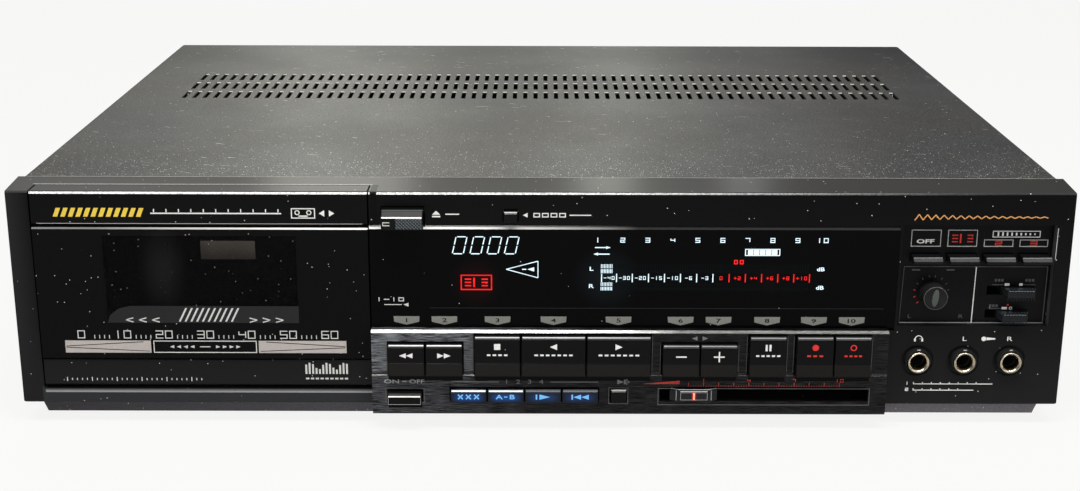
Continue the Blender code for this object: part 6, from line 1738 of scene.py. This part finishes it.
# %% Spin helper and sockets
def spun(profile, centre, axis="Y", steps=64):
    """Spin (radius, place along the axis) points round an axis through a centre."""
    bm = bmesh.new()
    along = {"Y": Vector((0, 1, 0)), "Z": Vector((0, 0, 1))}[axis]
    across = Vector((1, 0, 0))
    points = [Vector(centre) + across * radius + along * place for radius, place in profile]
    verts = [bm.verts.new(point) for point in points]
    edges = [bm.edges.new(pair) for pair in zip(verts, verts[1:])]
    if profile[0][0] > 0:
        edges.append(bm.edges.new((verts[-1], verts[0])))
    bmesh.ops.spin(bm, geom=verts + edges, cent=centre, axis=along, angle=2 * math.pi, steps=steps,
                   use_merge=True, use_duplicate=False)
    bmesh.ops.remove_doubles(bm, verts=bm.verts[:], dist=WELD)
    bmesh.ops.recalc_face_normals(bm, faces=bm.faces[:])
    return bm


JACK_BORE = 2.95 * MM
JACK_RING = 5.3 * MM
JACK_RIM = 4.45 * MM
JACK_NECK = 4.1 * MM
JACK_BODY = 6.0 * MM
JACK_SEAT = 6.3 * MM
JACK_RIM_DEPTH = 3.4 * MM
JACK_BORE_DEPTH = 24 * MM
JACK_LINING = 4.5 * MM
for name in ("phones_jack", "microphone_jack_left", "microphone_jack_right"):
    low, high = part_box(name)
    centre = ((low.x + high.x) / 2, low.y, (low.z + high.z) / 2)
    length = high.y - low.y
    bm = spun([(0, length), (JACK_BODY, length), (JACK_BODY, JACK_SEAT), (JACK_NECK, JACK_SEAT),
               (JACK_NECK, JACK_RIM_DEPTH), (JACK_RIM, JACK_RIM_DEPTH), (JACK_RIM, 1.1 * MM),
               (JACK_RIM - 0.12 * MM, 0.3 * MM), (JACK_RIM - 0.35 * MM, 0.05 * MM), (JACK_RIM - 0.55 * MM, 0),
               (JACK_BORE + 0.5 * MM, 0.3 * MM), (JACK_BORE + 0.2 * MM, 0.9 * MM), (JACK_BORE, 1.9 * MM),
               (JACK_BORE, JACK_BORE_DEPTH),
               (0, JACK_BORE_DEPTH)], centre)
    made = piece(f"{name}_collar", bm, "root", champagne_nickel, record_slots[name], smooth=True)
    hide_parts(name)
    outer, inner = JACK_BORE - 0.02 * MM, JACK_BORE - 0.12 * MM
    lining_end = JACK_BORE_DEPTH - 0.2 * MM
    bore = spun([(outer, JACK_LINING), (outer, lining_end), (inner, lining_end), (inner, JACK_LINING)], centre,
                steps=32)
    piece(f"{name}_sleeve", bore, "root", black_polymer, smooth=True)
    inner = JACK_RIM + 0.08 * MM
    ring_bm = spun([(inner, 1.0 * MM), (JACK_RIM + 0.2 * MM, 0.75 * MM), (JACK_RING - 0.3 * MM, 0.85 * MM),
                    (JACK_RING, 1.3 * MM), (JACK_RING, JACK_RIM_DEPTH), (inner, JACK_RIM_DEPTH)], centre, steps=48)
    piece(f"{name}_ring", ring_bm, "root", knob_abs, smooth=True)
print("turned three socket collars")

# %% [markdown]
# ## The balance knob and the feet
#
# The knob is a small cap with a fine grip round its skirt and a pointer ridge across its face. The ribs of the
# grip come from a spin with many steps, of which every other line of points is drawn in a little. A thin grey
# ring round the rim of its face is a painted highlight.

# %% Knob and feet
knob_low, knob_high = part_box("balance_knob")
centre = Vector(((knob_low.x + knob_high.x) / 2, knob_low.y, (knob_low.z + knob_high.z) / 2))
radius = (knob_high.x - knob_low.x) / 2
skirt = 6.8 * MM
length = knob_high.y - knob_low.y
GRIP_STEPS = 72
bm = spun([(0, 0.25 * MM), (radius - 1.5 * MM, 0.25 * MM), (radius - 1.1 * MM, 0.05 * MM),
           (radius - 0.75 * MM, 0.05 * MM), (radius - 0.45 * MM, 0.4 * MM), (radius - 0.4 * MM, 0.8 * MM),
           (radius, skirt), (1.8 * MM, skirt), (1.8 * MM, length), (0, length)], centre, steps=GRIP_STEPS)
for vert in bm.verts:
    offset = vert.co - centre
    spread = math.hypot(offset.x, offset.z)
    step = round(math.atan2(offset.z, offset.x) / (2 * math.pi) * GRIP_STEPS)
    if spread > radius - 0.5 * MM and step % 2:
        vert.co.x = centre.x + offset.x * 0.965
        vert.co.z = centre.z + offset.z * 0.965
made = piece("balance_knob_cap", bm, "balance_knob", knob_abs, record_slots["balance_knob"], smooth=True)
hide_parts("balance_knob")
bm = bmesh.new()
bmesh.ops.create_uvsphere(bm, u_segments=32, v_segments=16, radius=1,
                          matrix=Matrix.Translation(centre + Vector((0, 0.3 * MM, 0)))
                          @ Matrix.Rotation(math.radians(6), 4, "Y")
                          @ Matrix.Diagonal((1.3 * MM, 0.28 * MM, radius - 1.6 * MM, 1)))
piece("balance_knob_pointer", bm, "balance_knob", ridge_abs, smooth=True)
# Painted highlight: a thin grey ring round the rim of the knob's face.
bm = spun([(radius - 0.75 * MM, 0.03 * MM), (radius - 0.6 * MM, 0.1 * MM), (radius - 0.62 * MM, 0.3 * MM),
           (radius - 0.8 * MM, 0.2 * MM)], centre, steps=GRIP_STEPS)
piece("balance_knob_rim_highlight", bm, "balance_knob", highlight_ink, smooth=True)

FOOT_BORE = 8 * MM
for name in ("foot_front_left", "foot_front_right", "foot_rear_left", "foot_rear_right"):
    low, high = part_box(name)
    centre = ((low.x + high.x) / 2, (low.y + high.y) / 2, 0)
    reach = (high.x - low.x) / 2
    bm = spun([(0, high.z), (reach - 1.0 * MM, high.z), (reach, high.z - 0.6 * MM), (reach - 0.9 * MM, 1.2 * MM),
               (reach - 2.0 * MM, 0.2 * MM), (reach - 2.8 * MM, 0), (FOOT_BORE + 1.0 * MM, 0),
               (FOOT_BORE, 0.8 * MM), (FOOT_BORE, high.z - 2.0 * MM), (0, high.z - 2.0 * MM)], centre, axis="Z")
    made = piece(f"{name}_turned", bm, "root", rubber, record_slots[name], smooth=True)
    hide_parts(name)
print("turned the knob and four feet")

# %% [markdown]
# ## Knurling on the eject key
#
# The right part of the eject key has a diamond knurl on its front, below the crease. It starts as a grid turned
# by 45 degrees and trimmed to its field by four cuts. Each point is laid on the key by a ray, the sheet gets a
# thickness, and poking each outer face raises it to a small pyramid.

# %% Knurl
KNURL_PITCH = 0.95 * MM
KNURL_LIFT = 0.26 * MM
KNURL_LEFT = 5.6 * MM
KNURL_MARGIN = 0.45 * MM
EJECT_CREASE = 2.4 * MM
eject_low, eject_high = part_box("eject_key")
field_low = Vector((eject_low.x + KNURL_LEFT, 0, eject_low.z + KNURL_MARGIN))
field_high = Vector((eject_high.x - KNURL_MARGIN, 0, eject_high.z - EJECT_CREASE - KNURL_MARGIN))
middle = (field_low + field_high) / 2
reach = (field_high - field_low).length
cells = int(reach / KNURL_PITCH)
bm = bmesh.new()
bmesh.ops.create_grid(bm, x_segments=cells, y_segments=cells, size=cells * KNURL_PITCH / 2,
                      matrix=Matrix.Translation(middle) @ Matrix.Rotation(math.pi / 2, 4, "X")
                      @ Matrix.Rotation(math.pi / 4, 4, "Z"))
for point, outward in ((field_low, (-1, 0, 0)), (field_high, (1, 0, 0)), (field_low, (0, 0, -1)),
                       (field_high, (0, 0, 1))):
    bmesh.ops.bisect_plane(bm, geom=bm.verts[:] + bm.edges[:] + bm.faces[:], plane_co=point, plane_no=outward,
                           clear_outer=True)
for vert in bm.verts:
    vert.co.y = surface([shown["eject_key"]], vert.co.x, vert.co.z) + PRINT_SINK
raised = [item for item in thicken(bm, -2 * PRINT_SINK) if isinstance(item, bmesh.types.BMFace)]
bmesh.ops.poke(bm, faces=raised, offset=KNURL_LIFT)
piece("eject_knurl", bm, "eject_key", knurl_abs)
print("knurl of about", cells, "by", cells, "diamonds before trimming")

# %% [markdown]
# ## Screws and rear details
#
# Small fasteners are too fine for the solids. A screw head starts as a cone with a wide top. The top face is
# inset, cut along four planes, and the cross that this leaves is pushed in. Two screws hold each side of the
# cover, and eight the rear panel. Two thin lips close the gap between the rear panel and the cover's sides.

# %% Screws
def screw_head(bm, place, radius=2.9 * MM, tall=1.5 * MM, slot=0.4 * MM):
    """A pan head with a cross recess whose base lies at the place, facing along its local Z."""
    head = bmesh.new()
    bmesh.ops.create_cone(head, cap_ends=True, segments=24, radius1=radius, radius2=radius * 0.72, depth=tall,
                          matrix=Matrix.Translation((0, 0, tall / 2)))
    top = max(head.faces, key=lambda face: face.calc_center_median().z)
    bmesh.ops.inset_region(head, faces=[top], thickness=radius * 0.16, use_boundary=True)
    region = [top]
    for normal in (Vector((1, 0, 0)), Vector((0, 1, 0))):
        for side in (-1, 1):
            verts = list({vert for face in region for vert in face.verts})
            edges = list({edge for face in region for edge in face.edges})
            done = bmesh.ops.bisect_plane(head, geom=region + edges + verts, plane_co=normal * side * slot,
                                          plane_no=normal)
            region = [item for item in done["geom"] if isinstance(item, bmesh.types.BMFace)]
    cross_faces = [face for face in region
                   if min(abs(face.calc_center_median().x), abs(face.calc_center_median().y)) < slot / 2]
    grown = bmesh.ops.extrude_face_region(head, geom=cross_faces)
    sunk = [item for item in grown["geom"] if isinstance(item, bmesh.types.BMVert)]
    bmesh.ops.translate(head, verts=sunk, vec=(0, 0, -tall * 0.6))
    bmesh.ops.transform(head, verts=head.verts[:], matrix=place)
    spare = bpy.data.meshes.new("head")
    head.to_mesh(spare)
    head.free()
    bm.from_mesh(spare)
    bpy.data.meshes.remove(spare)


cover_low, cover_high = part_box("top_cover")
rear_low, rear_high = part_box("rear_panel")
SCREW_RISE = 30 * MM
SCREW_MARGIN = 55 * MM
bm = bmesh.new()
for side in (-1, 1):
    facing = Matrix.Rotation(side * math.pi / 2, 4, "Y")
    for y in (cover_low.y + SCREW_MARGIN, cover_high.y - SCREW_MARGIN):
        edge_x = side * (cover_high.x - 0.25 * MM)
        screw_head(bm, Matrix.Translation((edge_x, y, cover_low.z + SCREW_RISE)) @ facing)
black_zinc = worked_metal("black_zinc_screws", "#2c2b2a", "#1d1c1b", 0.35, 0.3 * MM)
piece("cover_screws", bm, "root", black_zinc, smooth=True)
bm = bmesh.new()
to_rear = Matrix.Rotation(-math.pi / 2, 4, "X")
for x in (-0.9, -0.3, 0.3, 0.9):
    place = (x * rear_high.x, rear_high.y - 0.05 * MM, rear_high.z - 6 * MM)
    screw_head(bm, Matrix.Translation(place) @ to_rear)
    place = (x * rear_high.x, rear_high.y - 0.05 * MM, rear_low.z + 6 * MM)
    screw_head(bm, Matrix.Translation(place) @ to_rear)
piece("rear_screws", bm, "root", black_zinc, smooth=True)
LIP_THICKNESS = 0.8 * MM
LIP_OVERLAP = 1.5 * MM
COVER_SHEET = 1.0 * MM
bm = bmesh.new()
for side in (-1, 1):
    inner = rear_high.x - LIP_OVERLAP
    outer = cover_high.x - COVER_SHEET - 0.1 * MM
    foot, top = max(rear_low.z, cover_low.z), rear_high.z - 2 * MM
    middle = (side * (inner + outer) / 2, rear_low.y - LIP_THICKNESS / 2, (foot + top) / 2)
    block(bm, middle, (outer - inner, LIP_THICKNESS, top - foot))
round_edges(bm, 0.15 * MM, 1)
piece("rear_panel_lips", bm, "root", rear_paint)
print("eight rear screws and four side screws")

# %% [markdown]
# ## Saving the two boxes
# The model's own box and the dressed deck's box are taken side by side, and the dressed size is printed.

# %% Take the sizes and finish
sizes = {"cad": cad_box, "dressed": [list(corner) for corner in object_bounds()]}
print("dressed size in mm:", [round((h - l) / MM, 1) for l, h in zip(*sizes["dressed"])])
